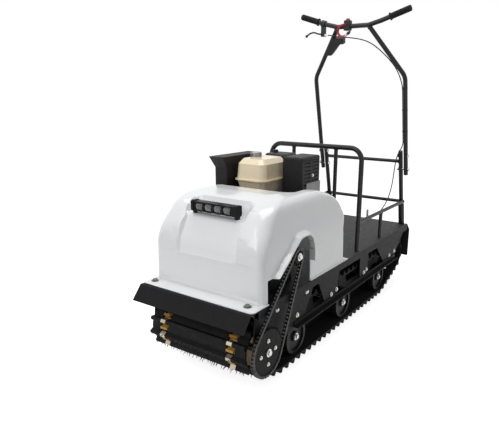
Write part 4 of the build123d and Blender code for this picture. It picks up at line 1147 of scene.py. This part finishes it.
for spoke in range(3):
    angle = radians(90 + 120 * spoke)
    x, height = drive_x + bearing_ring * cos(angle), drive_z + bearing_ring * sin(angle)
    bolt_places["small"].append(stand((x, -0.275, height), (0, -1, 0)))
for size, places in bolt_places.items():
    set_down(repeat(bolts[size], places), "bolts_" + size, "bolt_zinc", "chassis")

flange_places = [stand((0.796, y, 0.384), along_z) for y in (-0.259, 0.235)]
set_down(
    repeat(bolts["large"], flange_places), "flange_bolts", "bolt_grey", "chassis"
)

lock_z = 0.819
lock_x = post_x(lock_z)
lock_table = (
    # piece, distance from the middle, which way it faces, body
    ("lock_bolt_heads", 0.2935, 1, "handlebar"),
    ("lock_bolt_nuts", 0.2375, -1, "chassis"),
)
for name, away, facing, body in lock_table:
    lock_places = [
        stand((lock_x, side * away, lock_z), (0, facing * side, 0)) for side in (1, -1)
    ]
    set_down(repeat(bolts["medium"], lock_places), name, "bolt_zinc", body)

# %% [markdown]
# ### Welds
# The tubes are welded together and to the deck. A weld could be sculpted with ripples, but at this scale a
# smooth bead is what shows: a small circle spun about the tube's axis.

# %% Weld beads


def weld_bead(bm, place, axis, radius, bead):
    """A bead of weld round a tube."""
    axis = Vector(axis).normalized()
    away = axis.orthogonal().normalized()
    seat = Matrix((away, axis, away.cross(axis))).transposed().to_4x4()
    ring = bmesh.ops.create_circle(
        bm, segments=8, radius=bead, matrix=Matrix.Translation(Vector(place) + away * radius) @ seat
    )
    edges = list(dict.fromkeys(edge for vert in ring["verts"] for edge in vert.link_edges))
    bmesh.ops.spin(
        bm, geom=ring["verts"] + edges, cent=place, axis=axis, angle=2 * pi, steps=28,
        use_merge=True,
    )


post_axis = tuple(lean)
weld_table = (
    # x, distance from the middle, height, axis, tube radius, bead radius
    (-0.119, 0.268, 0.381, along_z, 0.0125, 0.0028),
    (-0.119, 0.125, 0.381, along_z, 0.010, 0.0025),
    (-0.440, 0.262, 0.381, along_z, 0.010, 0.0025),
    (-0.440, 0.262, 0.521, along_z, 0.010, 0.0022),
    (-0.119, 0.125, 0.897, along_z, 0.010, 0.0022),
    (-0.8038, 0.250, 0.510, post_axis, 0.0128, 0.0035),
    (-0.7988, 0.2375, 0.531, along_y, 0.010, 0.0025),
    (-0.7380, 0.2375, 0.784, along_y, 0.010, 0.0025),
    (-0.1300, 0.262, 0.530, along_x, 0.010, 0.0024),
    (-0.7890, 0.262, 0.530, along_x, 0.010, 0.0024),
)
weld_bm = bmesh.new()
for x, away, height, axis, radius, bead in weld_table:
    for side in (1, -1):
        weld_bead(weld_bm, (x, side * away, height), axis, radius, bead)
close_up(weld_bm)
set_down(weld_bm, "weld_beads", "frame_black", "chassis")

handle_weld_bm = bmesh.new()
tube_end_gap = 0.0165
for side in (1, -1):
    tube_run = Vector((0.10705, -side * 0.189, 0.267)).normalized()
    joint_place = Vector((-0.515, side * 0.092, 1.534)) - tube_end_gap * tube_run
    weld_bead(handle_weld_bm, joint_place, tube_run, 0.0125, 0.0026)
close_up(handle_weld_bm)
set_down(handle_weld_bm, "handle_welds", "frame_black", "handlebar")

# %% [markdown]
# ## Lamp bar
# Each of the lamp's four windows holds two small reflector bowls behind a smoked cover. A glowing plate would
# look flat, so the bowls are turned from a profile and the cover is a thin slab in front of them.

# %% Reflectors and covers
lamp_face_x = 0.709
lamp_z = 0.719
window_count = 4
window_pitch = 0.048
bowl_offset = 0.0112
bowl_depth, cover_depth = 0.0070, 0.0022
bowl_profile = (
    (0.0, 0.0004), (0.0028, 0.0006), (0.0034, 0.0012), (0.0062, 0.0020),
    (0.0088, 0.0032), (0.0102, 0.0044), (0.0110, 0.0044), (0.0110, 0.0),
)
bowl = template_mesh(turned(bowl_profile, 24), "bowl")
bead_profile = (
    (0.0, 0.0031), (0.0012, 0.0028), (0.0021, 0.0018), (0.0024, 0.0005), (0.0, 0.0005),
)
led_bead = template_mesh(turned(bead_profile, 12), "led_bead")
bowl_places = []
cover_places = []
for i in range(window_count):
    middle_y = (i - 1.5) * window_pitch
    cover_places.append(stand((lamp_face_x - cover_depth, middle_y, lamp_z), along_x))
    for side in (1, -1):
        bowl_y = middle_y + side * bowl_offset
        bowl_places.append(stand((lamp_face_x - bowl_depth, bowl_y, lamp_z), along_x))
set_down(
    repeat(bowl, bowl_places), "lamp_reflectors", "reflector_silver", "chassis"
)
set_down(repeat(led_bead, bowl_places), "lamp_leds", "led_yellow", "chassis")
cover = template_mesh(slab((0.0266, 0.0446, 0.0013), 0.0004), "cover")
covers = set_down(
    repeat(cover, cover_places), "lamp_covers", "lamp_clear", "chassis"
)
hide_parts("lamp_lens")

# %% [markdown]
# ## Grips and switch
# The grips are ribbed rubber sleeves with a flange. A rib texture would leave a smooth outline, so the ribs
# are in a turned profile. The stop switch gets its red push cap.

# %% Ribbed grips
rib_count = 18
rib_pitch = 0.0052
rib_radius, groove_radius = 0.0164, 0.0151
grip_profile = [(0.0, 0.0), (0.0105, 0.0), (0.0142, 0.0012), (0.0160, 0.0040), (0.0164, 0.0090)]
for i in range(rib_count):
    rib_z = 0.0125 + i * rib_pitch
    grip_profile += [
        (rib_radius, rib_z), (groove_radius, rib_z + 0.0009),
        (groove_radius, rib_z + 0.0021), (rib_radius, rib_z + 0.0030),
    ]
grip_profile += [
    (0.0160, 0.1090), (0.0166, 0.1120), (0.0200, 0.1132), (0.0210, 0.1148), (0.0210, 0.1168),
    (0.0198, 0.1180), (0.0127, 0.1180), (0.0127, 0.0042), (0.0, 0.0042),
]
grip = template_mesh(turned(grip_profile, 32), "grip")
grip_run = Vector((0, 0.154, 0.049)).normalized()
grip_places = []
for side in (1, -1):
    outward = Vector((0, side * grip_run.y, grip_run.z))
    grip_end = Vector((-0.515, side * 0.322, 1.602)) + 0.004 * outward
    grip_places.append(stand(grip_end, -outward))
grips = set_down(repeat(grip, grip_places), "ribbed_grips", "grip_rubber", "handlebar")
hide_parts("grips")

# %% Stop switch cap
push_cap_profile = (
    (0.0, 0.0), (0.0125, 0.0), (0.0125, 0.0030), (0.0105, 0.0034),
    (0.0105, 0.0075), (0.0092, 0.0094), (0.0, 0.0102),
)
push_cap = turned(push_cap_profile, 24, Matrix.Translation((-0.515, -0.031, 1.5655)))
set_down(push_cap, "switch_push_cap", "tether_red", "handlebar")

# %% [markdown]
# ## Engine trim
# The fuel cap has a knurled rim, the muffler's guard has pressed louvre lips and a row of holes with raised
# rims, and cooling fins stand on the back of the block. A bump pattern would leave their outlines smooth, so
# each is a small block or ring, made once and repeated.

# %% Fuel cap ribs
cap_rib_count = 30
cap_rim_radius = 0.0268
cap_centre = Vector((0.238, -0.122, 0.8785))
rib = template_mesh(slab((0.0024, 0.0022, 0.0145), 0.0006), "rib")
rib_places = []
for i in range(cap_rib_count):
    angle = 2 * pi * i / cap_rib_count
    rim = cap_centre + cap_rim_radius * Vector((cos(angle), sin(angle), 0))
    rib_places.append(Matrix.Translation(rim) @ Matrix.Rotation(angle, 4, "Z"))
set_down(repeat(rib, rib_places), "fuel_cap_ribs", "cap_silver", "chassis")

# %% Muffler louvres and holes
muffler_x, muffler_y, muffler_z = 0.143, 0.130, 0.806
column_offset, row_height, lip_lift = 0.037, 0.017, 0.0036
lip_tilt = Matrix.Rotation(radians(118), 3, "X")
lip_bm = slab((0.054, 0.0012, 0.0085), 0.0004)
bmesh.ops.rotate(lip_bm, verts=lip_bm.verts, cent=(0, 0, 0), matrix=lip_tilt)
lip = template_mesh(lip_bm, "lip")
lip_places = []
for column in (-1, 1):
    for row in range(7):
        x, height = muffler_x + column * column_offset, muffler_z + (row - 3) * row_height + lip_lift
        lip_places.append(Matrix.Translation((x, muffler_y, height)))
set_down(repeat(lip, lip_places), "muffler_louvres", "muffler_black", "chassis")

hole_pitch = 0.0172
rim_profile = (
    (0.0030, 0.0002), (0.0033, 0.0010), (0.0041, 0.0012), (0.0048, 0.0006),
    (0.0050, -0.0004), (0.0030, 0.0002),
)
hole_rim = template_mesh(turned(rim_profile, 16), "hole_rim")
hole_places = [stand((0.075 + hole_pitch * i, muffler_y, 0.868), along_y) for i in range(9)]
set_down(
    repeat(hole_rim, hole_places), "muffler_hole_rims", "muffler_black", "chassis"
)

# %% Cooling fins
fin_pitch = 0.0155
fin = template_mesh(slab((0.018, 0.156, 0.0028), 0.0009), "fin")
fin_places = [Matrix.Translation((0.0525, -0.070, 0.560 + fin_pitch * i)) for i in range(10)]
set_down(repeat(fin, fin_places), "cooling_fins", "engine_grey", "chassis")
